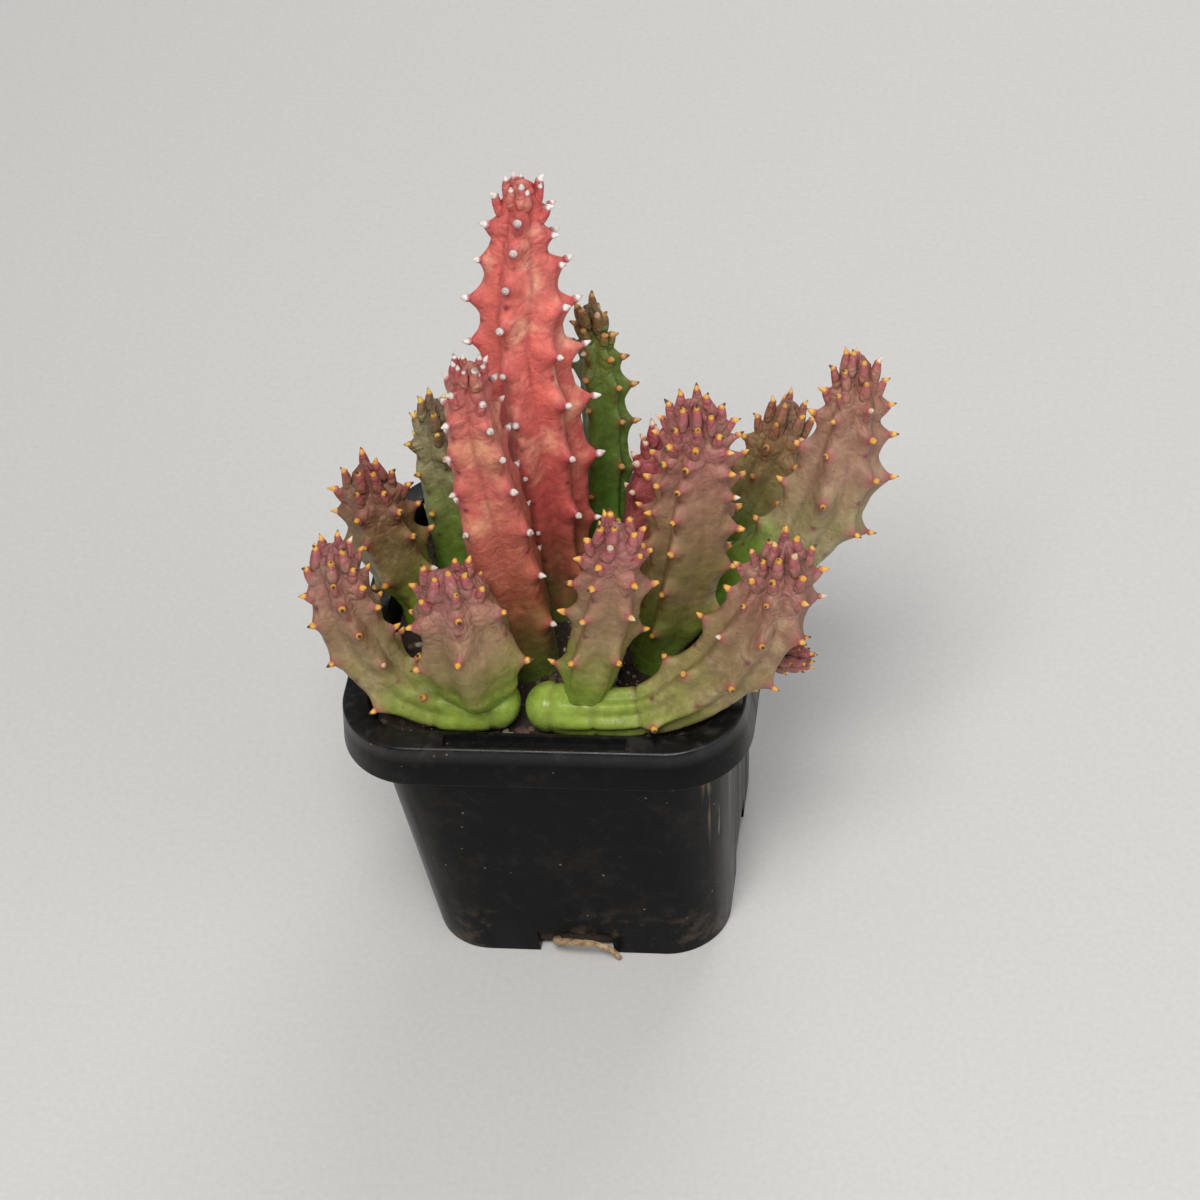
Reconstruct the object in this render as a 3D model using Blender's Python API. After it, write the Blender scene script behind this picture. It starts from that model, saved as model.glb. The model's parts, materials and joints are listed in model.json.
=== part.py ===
"""A potted huernia: ribbed, toothed succulent stems in a small square nursery pot.

Metres, +Z up. The origin is under the middle of the pot, on the surface it stands on,
and the front of the pot faces -Y. Lengths below are in millimetres, scaled by MM.
"""
import math
import random

import bmesh
import bpy
from mathutils import Matrix, Vector

MM = 0.001
GAP = 0.3                     # clearance between pieces that touch

# Pot: a square pot with round corners, a flat rim ledge and a skirt that hangs from it
POT_HEIGHT = 61.8
RIM_HALF = 35.0               # half of the rim's outer width, at the top
RIM_CORNER = 13.2
LEDGE_WIDTH = 4.5
LEDGE_THICK = 2.2
SKIRT_HEIGHT = 8.2
SKIRT_FLARE = 0.8             # how far the skirt's foot stands outside the rim's top edge
WALL = 1.1
EDGE_ROUND = 0.5
BODY_TOP_HALF = 31.6          # outside of the wall, under the ledge
BODY_TOP_CORNER = 12.0
BODY_FOOT_HALF = 27.0
BODY_FOOT_CORNER = 11.0
FLOOR_THICK = 1.2             # the flat floor rests on the surface
CORNER_STEPS = 6
CUT_REACH = 10.0              # how far a notch's cutter stands out past the foot
CUT_EXTRA = 2.0               # how far cutters pass the face they cut

NOTCH_WIDTH = 13.6            # drain notch in the lower edge of each side
NOTCH_HEIGHT = 5.5
NOTCH_DEPTH = 2.5             # how far it reaches in from the wall's outside
DRAIN_RADIUS = 3.5
DRAIN_OFFSET = 13.0
RECESS_LENGTH = 31.4          # label recess along the front ledge
RECESS_WIDTH = 2.6
RECESS_DEPTH = 1.4

# Soil
SOIL_TOP = 56.0
SOIL_RELIEF = 1.1             # the grit's surface lies up to this far below SOIL_TOP
SOIL_RINGS = 9
SOIL_SIDE_STEPS = 4
SOIL_SEED = 11
STONE_CLEARANCE = 1.0         # the soil lies flat this far round a stone
LYING_HALF = 4.0              # and this far to either side of a lying stem's middle
LYING_SPANS = 3               # spans of its route that lie on the soil
BARE_EASE = 2.0               # the relief grows to its full height over this length
HOLE_SIDES = 20
HOLE_SLACK = 0.45             # a hole's radius beyond the foot it holds
PEG_DEPTH = 7.5               # how deep a foot stands in the soil

# Stems: ribs with rows of teeth that crowd together towards the tip
RINGS_PER_TOOTH = 5           # the ribs' tooth rows are staggered by whole rings
STAGGER = 2                   # rings between one rib's teeth and the next's, where even
CROWN_LENGTH = 6.0            # the last stretch, where teeth turn to point along the stem
CROWN_GROOVE = 0.10           # how much deeper the grooves run there, as a share of the radius
CROWN_TOOTH = 2.0             # height of the teeth at the tip
TOOTH_GAIN = 0.08             # how much that grows with each millimetre from the tip
TOOTH_SPREAD = 0.3            # teeth differ in height by this share
TOOTH_FLANK = 0.3             # share of a tooth's height left one ring away from its point
FLANK_REACH = 1.2             # the flank gets lower where that ring is further off than this
TOOTH_FOOT = 0.06             # share left two rings away
SIDE_LEAN = 18.0              # degrees by which teeth lean towards the stem's tip
CROWN_LEAN = 52.0             # how much more they lean at the tip
TOOTH_START = 0.4             # share of the smooth foot that has no teeth at all
GROOVE_START = 1.0            # the grooves begin this far above a stem's start
NEIGHBOUR_GAP = 0.6           # clearance that teeth keep from the next stem
SMOOTH_RING = 4.0             # ring spacing on the smooth foot
CAP_RINGS = 3                 # rings that round the start of a lying stem
ROUTE_STEPS = 60
STEEP = 0.8                   # a route that heads sideways more than this starts from another side
SPAN_STEPS = 12               # steps between two given points of a route


def even_ribs(count, first):
    """Ribs spaced evenly round a stem, their teeth staggered from one to the next."""
    return [(rib * STAGGER % RINGS_PER_TOOTH, [(0, first + 360 * rib / count)])
            for rib in range(count)]


# Each stem: the points its middle runs through, foot first; its radius to the ribs' crests
# at shares of its length; its ribs, each with the ring that its teeth start from and its
# angle about the middle, in degrees, at distances from the tip; the grooves' depth as a
# share of the radius; the teeth's greatest height, their spacing at the tip and how much
# it grows with each millimetre
STEMS = {
    "stem_tall_red": dict(
        start="peg",
        route=[(-1, 7.5, 56), (-1.2, 7.6, 61), (-1.5, 8.2, 80.5), (-2, 8.7, 96),
               (-1.8, 9.6, 115), (-0.6, 11, 131), (1.6, 12.5, 146.1)],
        girth=[(0, 5.2), (0.15, 6.6), (0.42, 8.6), (0.74, 6.8), (0.92, 4.2), (1, 2.9)],
        ribs=[(4, [(0, 198), (9, 198), (15, 210), (30, 212), (60, 205)]),
              (1, [(0, 277), (5, 274), (10, 270), (16, 264), (24, 258), (32, 258), (45, 267)]),
              (0, [(0, 350), (17, 354), (30, 320), (60, 314)]),
              (2, [(0, 400), (17, 396), (30, 376), (60, 355)]),
              (3, [(0, 480), (60, 460)])],
        groove=0.25, tooth=4.2, spacing=4.2, growth=0.15, smooth_foot=10),
    "stem_red": dict(
        start="peg",
        route=[(-4.5, -8, 56), (-4.6, -8.2, 61), (-5.5, -8.9, 72), (-6.3, -9.4, 84),
               (-6.9, -9.8, 100), (-7.4, -10, 115), (-6.3, -10, 126.6)],
        girth=[(0, 4.8), (0.2, 6.6), (0.45, 7), (0.75, 5.3), (0.9, 4.2), (1, 2.6)],
        ribs=[(0, [(0, 238), (24, 240), (33, 246)]),
              (1, [(0, 302), (5, 306), (11, 312), (18, 318), (36, 327)]),
              (3, [(0, 415)]), (2, [(0, 505)])],
        groove=0.26, tooth=3.2, spacing=4.2, growth=0.16, smooth_foot=10),
    "stem_left_back": dict(
        start="peg",
        route=[(-21.5, 15, 56), (-21.5, 15.1, 60), (-21.8, 16, 71.5), (-22, 17.5, 82.5),
               (-21.3, 19.5, 92.6)],
        girth=[(0, 3.6), (0.35, 4.5), (0.75, 4.1), (1, 2.3)],
        ribs=[(3, [(0, 190), (4, 190), (7, 220), (13, 240), (21, 258)]),
              (0, [(0, 270), (7, 290), (20, 325)]),
              (2, [(0, 350), (20, 385)]), (4, [(0, 430)]), (1, [(0, 500)])],
        groove=0.2, tooth=3.0, spacing=1.8, growth=0.35, smooth_foot=6),
    "stem_left": dict(
        start="peg",
        route=[(-24.8, 2.5, 56), (-25, 2.5, 61), (-27.6, 2.2, 68.5), (-29.7, 2, 77),
               (-30.6, 2.2, 86), (-30.9, 2.5, 93.1)],
        girth=[(0, 4.2), (0.18, 4.5), (0.5, 5.9), (0.8, 5.3), (1, 2.7)],
        ribs=[(0, [(0, 192)]), (3, [(0, 260), (14, 260), (25, 267)]),
              (4, [(0, 310), (4, 314), (9, 327), (20, 338)]),
              (2, [(0, 355), (5, 368), (20, 385)]), (1, [(0, 465)])],
        groove=0.2, tooth=3.2, spacing=1.7, growth=0.4, smooth_foot=6),
    "stem_front_left": dict(
        start="lying",
        route=[(-3.8, -22, 61.2), (-13, -23.6, 61), (-20.5, -23.3, 62.4), (-26.8, -22.2, 67.4),
               (-31, -21, 77), (-32.6, -20, 87.5), (-32.4, -19.2, 94.6)],
        girth=[(0, 4.7), (0.25, 4.7), (0.45, 5.1), (0.7, 5.9), (0.88, 4.9), (1, 2.6)],
        ribs=[(3, [(0, 205), (4, 226), (8, 238), (13, 243), (35, 250)]),
              (0, [(0, 286), (6, 291), (15, 306), (25, 318)]),
              (3, [(0, 336), (8, 338), (20, 365), (40, 385)]),
              (1, [(0, 425)]), (4, [(0, 500)])],
        groove=0.2, tooth=3.0, spacing=1.8, growth=0.35, smooth_foot=14),
    "stem_right": dict(
        start="peg",
        route=[(17.5, -6, 56), (17.8, -6.2, 61), (21.2, -6.5, 69), (24.6, -6.8, 81.5),
               (27, -6.6, 94), (28.5, -6.2, 106), (29.1, -6, 115.6)],
        girth=[(0, 4.6), (0.25, 6.6), (0.5, 6.9), (0.75, 6), (0.9, 5), (1, 3)],
        ribs=[(3, [(0, 238), (4, 235), (8, 226), (19, 217)]),
              (2, [(0, 283), (6, 276), (10, 262), (15, 252)]),
              (0, [(0, 312), (5, 318), (8, 327), (13, 329), (22, 340)]),
              (1, [(0, 368), (9, 374), (22, 390)]), (4, [(0, 450)]), (2, [(0, 522)])],
        groove=0.2, tooth=3.4, spacing=2.0, growth=0.22, smooth_foot=8),
    "stem_dark_red": dict(
        start="peg",
        route=[(12, 9.5, 56), (12.1, 9.6, 60), (13.6, 10.5, 67), (16, 12, 77),
               (18.4, 13.5, 85), (20, 14.3, 91.2)],
        girth=[(0, 3.6), (0.4, 4.5), (0.75, 4.2), (1, 2.2)],
        ribs=[(2, [(0, 214), (6, 216), (13, 240)]), (4, [(0, 288), (13, 305)]),
              (1, [(0, 362)]), (3, [(0, 432)]), (0, [(0, 504)])],
        groove=0.22, tooth=2.8, spacing=2.0, growth=0.32, smooth_foot=6),
    "stem_dark_green": dict(
        start="peg",
        route=[(4, 18.8, 56), (4.1, 18.9, 60), (5.8, 20.4, 69), (7, 21.8, 80), (7.5, 23.2, 90),
               (7.3, 24.4, 100.5), (6.6, 25.6, 109.1)],
        girth=[(0, 3.5), (0.3, 4.2), (0.7, 4), (1, 1.9)],
        ribs=[(2, [(0, 250)]), (4, [(0, 314)]), (0, [(0, 348), (25, 354)]),
              (1, [(0, 432)]), (3, [(0, 520)])],
        groove=0.22, tooth=3.0, spacing=2.4, growth=0.25, smooth_foot=8),
    "stem_right_back": dict(
        start="peg",
        route=[(24.3, 13.5, 56), (24.5, 13.7, 61.5), (28.6, 15.2, 68.5), (33.5, 17, 74),
               (37.6, 20, 82), (40.5, 23, 89.8)],
        girth=[(0, 3.8), (0.2, 4.1), (0.5, 5.1), (0.8, 4.8), (1, 2.7)],
        ribs=[(4, [(0, 192)]), (3, [(0, 246)]), (0, [(0, 308)]), (2, [(0, 358)]),
              (1, [(0, 460)])],
        groove=0.2, tooth=3.0, spacing=1.8, growth=0.38, smooth_foot=8),
    "stem_far_right": dict(
        start="peg",
        route=[(25.2, 2.6, 56), (25.4, 2.7, 61.5), (30.6, 2.8, 68.3), (38, 2.8, 72.5),
               (44.4, 3.6, 79), (49.4, 5.6, 88.5), (52.7, 8.8, 100.5), (54.3, 11.6, 110.2)],
        girth=[(0, 4), (0.15, 4.4), (0.45, 6.6), (0.62, 7), (0.85, 4.9), (1, 2.5)],
        ribs=[(2, [(0, 185), (12, 190)]),
              (1, [(0, 224), (6, 234), (10, 234), (17, 240), (24, 255), (35, 262)]),
              (3, [(0, 280), (5, 288), (8, 291), (14, 300), (20, 309)]),
              (4, [(0, 355)]), (0, [(0, 450)])],
        groove=0.21, tooth=4.0, spacing=2.0, growth=0.3, smooth_foot=16),
    "stem_front_right": dict(
        start="lying",
        route=[(-2.8, -23, 61), (8, -24, 60.9), (18, -24.2, 62), (26, -23, 66),
               (33.2, -21.5, 72), (39.2, -20, 80.5), (42.6, -18.5, 89), (43.8, -18.1, 95.6)],
        girth=[(0, 4.5), (0.28, 4.5), (0.48, 6.1), (0.7, 7.1), (0.88, 5.8), (1, 3)],
        ribs=[(3, [(0, -4)]), (2, [(0, 30), (12, 42), (20, 37)]),
              (0, [(0, 66), (10, 69), (16, 82), (27, 87)]),
              (4, [(0, 104), (4, 117), (8, 121), (15, 129), (27, 136)]),
              (1, [(0, 182)]), (3, [(0, 268)])],
        groove=0.2, tooth=3.2, spacing=1.6, growth=0.42, smooth_foot=18),
}

# Branches grow out of a stem and are one body with it
BRANCH_SEED = 100
BRANCHES = {
    "stub": dict(
        parent="stem_front_left", start="branch",
        route=[(-10.8, -22.8, 61.5), (-10.4, -23.6, 71), (-11.2, -24, 81), (-12.2, -24.6, 90),
               (-12, -24.9, 94.6)],
        girth=[(0, 3.8), (0.2, 7.2), (0.42, 8.4), (0.7, 6.9), (0.88, 4.9), (1, 2.8)],
        ribs=[(3, [(0, 236), (3, 236), (9, 215)]), (1, [(0, 300), (2, 300), (6, 291), (15, 273)]),
              (4, [(0, 350)]), (2, [(0, 412)]), (0, [(0, 530)])],
        groove=0.2, tooth=3.4, spacing=1.3, growth=0.65, smooth_foot=6),
    "front_shoot": dict(
        parent="stem_front_right", start="branch",
        route=[(6.8, -23.6, 60.5), (9.9, -22.8, 71.5), (13.4, -22.7, 83), (15.6, -23, 95),
               (17, -23.5, 104.1)],
        girth=[(0, 3.2), (0.25, 4.8), (0.6, 5.4), (0.85, 4.5), (1, 2.6)],
        ribs=[(3, [(0, 212), (4, 203), (13, 204), (29, 182)]),
              (1, [(0, 274), (2, 273), (5, 252), (11, 246), (25, 238)]),
              (0, [(0, 350), (2, 348), (5, 336), (10, 312), (25, 304)]),
              (4, [(0, 410), (5, 392), (16, 370)]), (2, [(0, 480)])],
        groove=0.2, tooth=3.2, spacing=1.6, growth=0.42, smooth_foot=6),
    "side_bud": dict(
        parent="stem_front_right", start="branch",
        route=[(34.5, -20, 71), (40, -17.2, 68), (46, -17.6, 67.5)],
        girth=[(0, 1.9), (0.5, 2.3), (1, 1.3)],
        ribs=even_ribs(5, 30),
        groove=0.2, tooth=1.5, spacing=1.2, growth=0.35, smooth_foot=6),
}

# Loose stones on the soil: middle, radius and height
STONE_SEED = 40
STONE_ROUGH = 0.1             # how far a stone's points stand in and out, as a share of its radius
STONE_FLAT = -0.6             # where its underside is cut flat, in radii
STONE_DETAIL = 2              # how often a stone's faces are divided
STONES = {
    "stone_brown": ((-3.4, -26.6), 1.5, 2.4),
    "stone_pale": ((9.6, -13.6), 1.9, 2.2),
    "stone_left": ((-15.5, -6.5), 1.6, 1.8),
    "stone_back": ((-11.5, 20.5), 1.8, 2.0),
    "stone_corner": ((14.5, 23.5), 1.5, 1.7),
}

# A dry root that arches out of the front drain notch to the ground
ROOT_ROUTE = [(-3.6, -26.1, 2.6), (-3.4, -27.6, 3.4), (-0.4, -28.6, 4.6), (3.8, -28.6, 4.2),
              (6.6, -28.6, 2.8), (8.0, -28.8, 0.85)]
ROOT_RADIUS = 0.7
ROOT_TAPER = 0.3              # how much thinner it is at its end, as a share
ROOT_STEPS = 14
ROOT_SIDES = 8

# Edges sharper than these angles, in degrees, stay sharp
POT_SMOOTH = 35
SOIL_SMOOTH = 25
STEM_SMOOTH = 30
STONE_SMOOTH = 40
ROOT_SMOOTH = 60

COLOURS = {
    "pot": (0.012, 0.012, 0.014, 0.42),
    "soil": (0.045, 0.030, 0.021, 0.95),
    "root": (0.42, 0.27, 0.14, 0.9),
    "stone_brown": (0.13, 0.075, 0.065, 0.85),
    "stone_pale": (0.48, 0.44, 0.40, 0.85),
    "stone_left": (0.22, 0.19, 0.16, 0.85),
    "stone_back": (0.30, 0.26, 0.22, 0.85),
    "stone_corner": (0.20, 0.14, 0.11, 0.85),
    "stem_tall_red": (0.62, 0.13, 0.10, 0.5),
    "stem_red": (0.58, 0.14, 0.10, 0.5),
    "stem_left_back": (0.17, 0.20, 0.11, 0.5),
    "stem_left": (0.23, 0.15, 0.10, 0.5),
    "stem_front_left": (0.27, 0.21, 0.10, 0.5),
    "stem_right": (0.26, 0.16, 0.11, 0.5),
    "stem_dark_red": (0.24, 0.05, 0.06, 0.5),
    "stem_dark_green": (0.09, 0.14, 0.05, 0.5),
    "stem_right_back": (0.22, 0.18, 0.09, 0.5),
    "stem_far_right": (0.29, 0.19, 0.11, 0.5),
    "stem_front_right": (0.28, 0.24, 0.10, 0.5),
}


def clear_scene():
    for item in list(bpy.data.objects):
        bpy.data.objects.remove(item, do_unlink=True)


def make_material(name):
    red, green, blue, roughness = COLOURS[name]
    material = bpy.data.materials.new(name)
    material.use_nodes = True
    shader = material.node_tree.nodes["Principled BSDF"]
    shader.inputs["Base Color"].default_value = (red, green, blue, 1.0)
    shader.inputs["Roughness"].default_value = roughness
    shader.inputs["Metallic"].default_value = 0.0
    return material


def make_object(name, points, faces, smooth_angle=None):
    """A mesh object from points in millimetres, with its faces turned outwards."""
    mesh = bpy.data.meshes.new(name)
    mesh.from_pydata([Vector(p) * MM for p in points], [], faces)
    work = bmesh.new()
    work.from_mesh(mesh)
    bmesh.ops.recalc_face_normals(work, faces=work.faces)
    work.to_mesh(mesh)
    work.free()
    if smooth_angle is not None:
        mesh.shade_smooth()
        mesh.set_sharp_from_angle(angle=math.radians(smooth_angle))
    item = bpy.data.objects.new(name, mesh)
    bpy.context.scene.collection.objects.link(item)
    if name in COLOURS:
        mesh.materials.append(make_material(name))
    return item


def apply_boolean(target, others, operation):
    """Join the others into the target or cut them out of it, then remove them."""
    group = bpy.data.collections.new(f"{target.name}_{operation.lower()}")
    bpy.context.scene.collection.children.link(group)
    for other in others:
        group.objects.link(other)
    modifier = target.modifiers.new("boolean", "BOOLEAN")
    modifier.operation = operation
    modifier.solver = "EXACT"
    modifier.operand_type = "COLLECTION"
    modifier.collection = group
    with bpy.context.temp_override(object=target):
        bpy.ops.object.modifier_apply(modifier=modifier.name)
    for other in others:
        bpy.data.objects.remove(other, do_unlink=True)
    bpy.data.collections.remove(group)


def box_object(name, low, high):
    corners = [(x, y, z) for z in (low[2], high[2]) for y in (low[1], high[1])
               for x in (low[0], high[0])]
    faces = [(0, 2, 3, 1), (4, 5, 7, 6), (0, 1, 5, 4), (2, 6, 7, 3), (0, 4, 6, 2), (1, 3, 7, 5)]
    return make_object(name, corners, faces)


def loft(name, rings, smooth_angle=None):
    """Bridge rings of equal size into a tube, and close its two ends with fans."""
    count = len(rings[0])
    points = [p for ring in rings for p in ring]
    faces = []
    for row in range(len(rings) - 1):
        for col in range(count):
            nxt = (col + 1) % count
            a, b = row * count + col, row * count + nxt
            faces.append((a, b, b + count, a + count))
    for row in (0, len(rings) - 1):
        centre = sum((Vector(p) for p in rings[row]), Vector()) / count
        points.append(tuple(centre))
        hub = len(points) - 1
        faces += [(row * count + col, row * count + (col + 1) % count, hub)
                  for col in range(count)]
    return make_object(name, points, faces, smooth_angle)


def rounded_square(half, corner, height, side_steps=1):
    """Points around a square with round corners, starting on the right side."""
    points = []
    for quarter in range(4):
        turn = quarter * math.pi / 2
        for step in range(CORNER_STEPS + 1):
            angle = turn + step * math.pi / 2 / CORNER_STEPS
            sign_x = 1 if quarter in (0, 3) else -1
            sign_y = 1 if quarter in (0, 1) else -1
            points.append((sign_x * (half - corner) + corner * math.cos(angle),
                           sign_y * (half - corner) + corner * math.sin(angle), height))
        start = Vector(points[-1])
        angle = turn + math.pi / 2
        next_x = 1 if (quarter + 1) % 4 in (0, 3) else -1
        next_y = 1 if (quarter + 1) % 4 in (0, 1) else -1
        end = Vector((next_x * (half - corner) + corner * math.cos(angle),
                      next_y * (half - corner) + corner * math.sin(angle), height))
        for step in range(1, side_steps):
            points.append(tuple(start.lerp(end, step / side_steps)))
    return points


def wall_half(height):
    """Half the outer width of the tapered body at a height."""
    share = height / (POT_HEIGHT - LEDGE_THICK)
    return BODY_FOOT_HALF + (BODY_TOP_HALF - BODY_FOOT_HALF) * share


def wall_corner(height):
    share = height / (POT_HEIGHT - LEDGE_THICK)
    return BODY_FOOT_CORNER + (BODY_TOP_CORNER - BODY_FOOT_CORNER) * share


def inside_ring(height, inset=0.0, side_steps=1):
    """The pot's inside at a height: one straight slope from the floor to the mouth."""
    low = FLOOR_THICK
    share = (height - low) / (POT_HEIGHT - EDGE_ROUND - low)
    half = wall_half(low) - WALL
    corner = wall_corner(low) - WALL
    half += (RIM_HALF - LEDGE_WIDTH - half) * share
    corner += (RIM_CORNER - LEDGE_WIDTH - corner) * share
    return rounded_square(half - inset, corner - inset, height, side_steps)


def build_pot():
    top = POT_HEIGHT
    ledge_under = POT_HEIGHT - LEDGE_THICK
    skirt_foot = POT_HEIGHT - SKIRT_HEIGHT
    skirt_half = RIM_HALF + SKIRT_FLARE
    mouth_half = RIM_HALF - LEDGE_WIDTH
    mouth_corner = RIM_CORNER - LEDGE_WIDTH
    outside = [
        # round the edge of the floor
        (wall_half(0) - EDGE_ROUND, wall_corner(0) - EDGE_ROUND, 0),
        (wall_half(0), wall_corner(0), EDGE_ROUND),
        # up the outside, under the ledge and round the skirt
        (wall_half(ledge_under), wall_corner(ledge_under), ledge_under),
        (RIM_HALF - WALL, RIM_CORNER - WALL, ledge_under),
        (skirt_half - WALL, RIM_CORNER + SKIRT_FLARE - WALL, skirt_foot),
        (skirt_half, RIM_CORNER + SKIRT_FLARE, skirt_foot),
        (RIM_HALF, RIM_CORNER, top - EDGE_ROUND),
        (RIM_HALF - EDGE_ROUND, RIM_CORNER - EDGE_ROUND, top),
        # across the ledge to the mouth
        (mouth_half + EDGE_ROUND, mouth_corner + EDGE_ROUND, top),
    ]
    rings = [rounded_square(*row) for row in outside]
    rings += [inside_ring(top - EDGE_ROUND), inside_ring(FLOOR_THICK)]
    pot = loft("pot", rings, POT_SMOOTH)

    cutters = []
    reach = BODY_FOOT_HALF + CUT_REACH
    inner = wall_half(0) - NOTCH_DEPTH
    half = NOTCH_WIDTH / 2
    low = -CUT_EXTRA
    cutters.append(box_object("notch_front", (-half, -reach, low), (half, -inner, NOTCH_HEIGHT)))
    cutters.append(box_object("notch_back", (-half, inner, low), (half, reach, NOTCH_HEIGHT)))
    cutters.append(box_object("notch_left", (-reach, -half, low), (-inner, half, NOTCH_HEIGHT)))
    cutters.append(box_object("notch_right", (inner, -half, low), (reach, half, NOTCH_HEIGHT)))
    for x in (-DRAIN_OFFSET, DRAIN_OFFSET):
        for y in (-DRAIN_OFFSET, DRAIN_OFFSET):
            cutters.append(disc("drain", x, y, DRAIN_RADIUS, low, FLOOR_THICK + CUT_EXTRA))
    middle = -(RIM_HALF + mouth_half) / 2
    cutters.append(box_object(
        "recess",
        (-RECESS_LENGTH / 2, middle - RECESS_WIDTH / 2, top - RECESS_DEPTH),
        (RECESS_LENGTH / 2, middle + RECESS_WIDTH / 2, top + CUT_EXTRA)))
    apply_boolean(pot, cutters, "DIFFERENCE")


def disc(name, x, y, radius, low, high, sides=HOLE_SIDES):
    rings = []
    for z in (low, high):
        rings.append([(x + radius * math.cos(2 * math.pi * k / sides),
                       y + radius * math.sin(2 * math.pi * k / sides), z) for k in range(sides)])
    return loft(name, rings)


def build_soil():
    """The potting mix: it fills the pot, and its top is gritty."""
    draw = random.Random(SOIL_SEED)
    bottom = FLOOR_THICK + GAP
    edge = inside_ring(SOIL_TOP - SOIL_RELIEF / 2, GAP, SOIL_SIDE_STEPS)
    rings = [inside_ring(bottom, GAP, SOIL_SIDE_STEPS), edge]
    for ring in range(1, SOIL_RINGS):
        share = 1 - ring / SOIL_RINGS
        row = []
        for x, y, _ in edge:
            x, y = x * share, y * share
            row.append((x, y, SOIL_TOP - draw.random() * SOIL_RELIEF * bare_share(x, y)))
        rings.append(row)
    soil = loft("soil", rings, SOIL_SMOOTH)

    holes = []
    for stem in STEMS.values():
        if stem["start"] == "peg":
            x, y, z = stem["route"][0]
            radius = stem["girth"][0][1] + HOLE_SLACK
            low = SOIL_TOP - PEG_DEPTH - GAP
            holes.append(disc("hole", x, y, radius, low, SOIL_TOP + CUT_EXTRA))
    apply_boolean(soil, holes, "DIFFERENCE")


def bare_share(x, y):
    """0 where something lies on the soil, so that it lies flat there, and 1 elsewhere."""
    nearest = BARE_EASE
    for (sx, sy), radius, _ in STONES.values():
        nearest = min(nearest, math.hypot(x - sx, y - sy) - radius - STONE_CLEARANCE)
    for stem in STEMS.values():
        if stem["start"] != "lying":
            continue
        points, _ = smooth_route(stem["route"][:LYING_SPANS + 1])
        for point in points:
            nearest = min(nearest, math.hypot(x - point.x, y - point.y) - LYING_HALF)
    return max(nearest / BARE_EASE, 0.0)


def smooth_route(points, steps=ROUTE_STEPS):
    """Points evenly spaced by length along a smooth curve through the given ones."""
    points = [Vector(p) for p in points]
    ends = [2 * points[0] - points[1]] + points + [2 * points[-1] - points[-2]]
    dense = []
    for a, b, c, d in zip(ends, ends[1:], ends[2:], ends[3:]):
        for step in range(SPAN_STEPS):
            t = step / SPAN_STEPS
            dense.append(0.5 * (2 * b + (c - a) * t + (2 * a - 5 * b + 4 * c - d) * t ** 2
                                + (3 * b - a - 3 * c + d) * t ** 3))
    dense.append(points[-1])
    lengths = [0.0]
    for a, b in zip(dense, dense[1:]):
        lengths.append(lengths[-1] + (b - a).length)
    total = lengths[-1]
    even = []
    index = 0
    for step in range(steps + 1):
        want = total * step / steps
        while index < len(dense) - 2 and lengths[index + 1] < want:
            index += 1
        span = lengths[index + 1] - lengths[index]
        even.append(dense[index].lerp(dense[index + 1], (want - lengths[index]) / span))
    return even, total


def route_frames(points):
    """A direction and two side directions at each point, carried along without twist."""
    frames = []
    side = None
    for index, point in enumerate(points):
        ahead = points[min(index + 1, len(points) - 1)]
        behind = points[max(index - 1, 0)]
        along = (ahead - behind).normalized()
        if side is None:
            side = Vector((1, 0, 0)) if abs(along.x) < STEEP else Vector((0, 0, 1))
        side = (side - along * side.dot(along)).normalized()
        frames.append((point, along, side, along.cross(side)))
    return frames


def frame_at(frames, share):
    place = share * (len(frames) - 1)
    index = min(int(place), len(frames) - 2)
    mix = place - index
    parts = [a.lerp(b, mix) for a, b in zip(frames[index], frames[index + 1])]
    return parts[0], parts[1].normalized(), parts[2].normalized(), parts[3].normalized()


def ease(value):
    value = min(max(value, 0.0), 1.0)
    return value * value * (3 - 2 * value)


def girth_at(girth, share):
    for (a, radius_a), (b, radius_b) in zip(girth, girth[1:]):
        if share <= b:
            return radius_a + (radius_b - radius_a) * ease((share - a) / (b - a))
    return girth[-1][1]


def turn_at(turn, from_tip):
    """A rib's angle about the stem's middle, in degrees, this far from the tip."""
    for (a, angle_a), (b, angle_b) in zip(turn, turn[1:]):
        if from_tip <= b:
            return angle_a + (angle_b - angle_a) * (from_tip - a) / (b - a)
    return turn[-1][1]


def tooth_count(stem, from_tip):
    """How many teeth stand on one rib between the tip and a place this far from it."""
    return math.log(1 + stem["growth"] * from_tip / stem["spacing"]) / stem["growth"]


def place_of_tooth(stem, count):
    return stem["spacing"] / stem["growth"] * (math.exp(stem["growth"] * count) - 1)


def ring_places(stem, total, peg):
    """Distances from the foot at which a stem's rings stand."""
    last = int(tooth_count(stem, total - peg - stem["smooth_foot"]) * RINGS_PER_TOOTH)
    toothed = [(total - place_of_tooth(stem, k / RINGS_PER_TOOTH), k) for k in range(last, 0, -1)]
    top = toothed[0][0]
    plain = [0.0]
    if stem["start"] == "lying":
        end = stem["girth"][0][1]
        plain = [end * (1 - math.cos(math.pi / 2 * k / CAP_RINGS)) for k in range(1, CAP_RINGS + 1)]
    rest = top - plain[-1]
    count = max(1, round(rest / SMOOTH_RING))
    plain += [plain[-1] + rest * k / count for k in range(1, count)]
    return [(place, None) for place in plain] + toothed


def stem_line(stem):
    """A stem's frames, its length and how much of it stands in the soil."""
    route = list(stem["route"])
    peg = 0.0
    if stem["start"] == "peg":
        peg = PEG_DEPTH
        x, y, z = route[0]
        route.insert(0, (x, y, z - peg))
    points, total = smooth_route(route)
    return route_frames(points), total, peg


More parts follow.
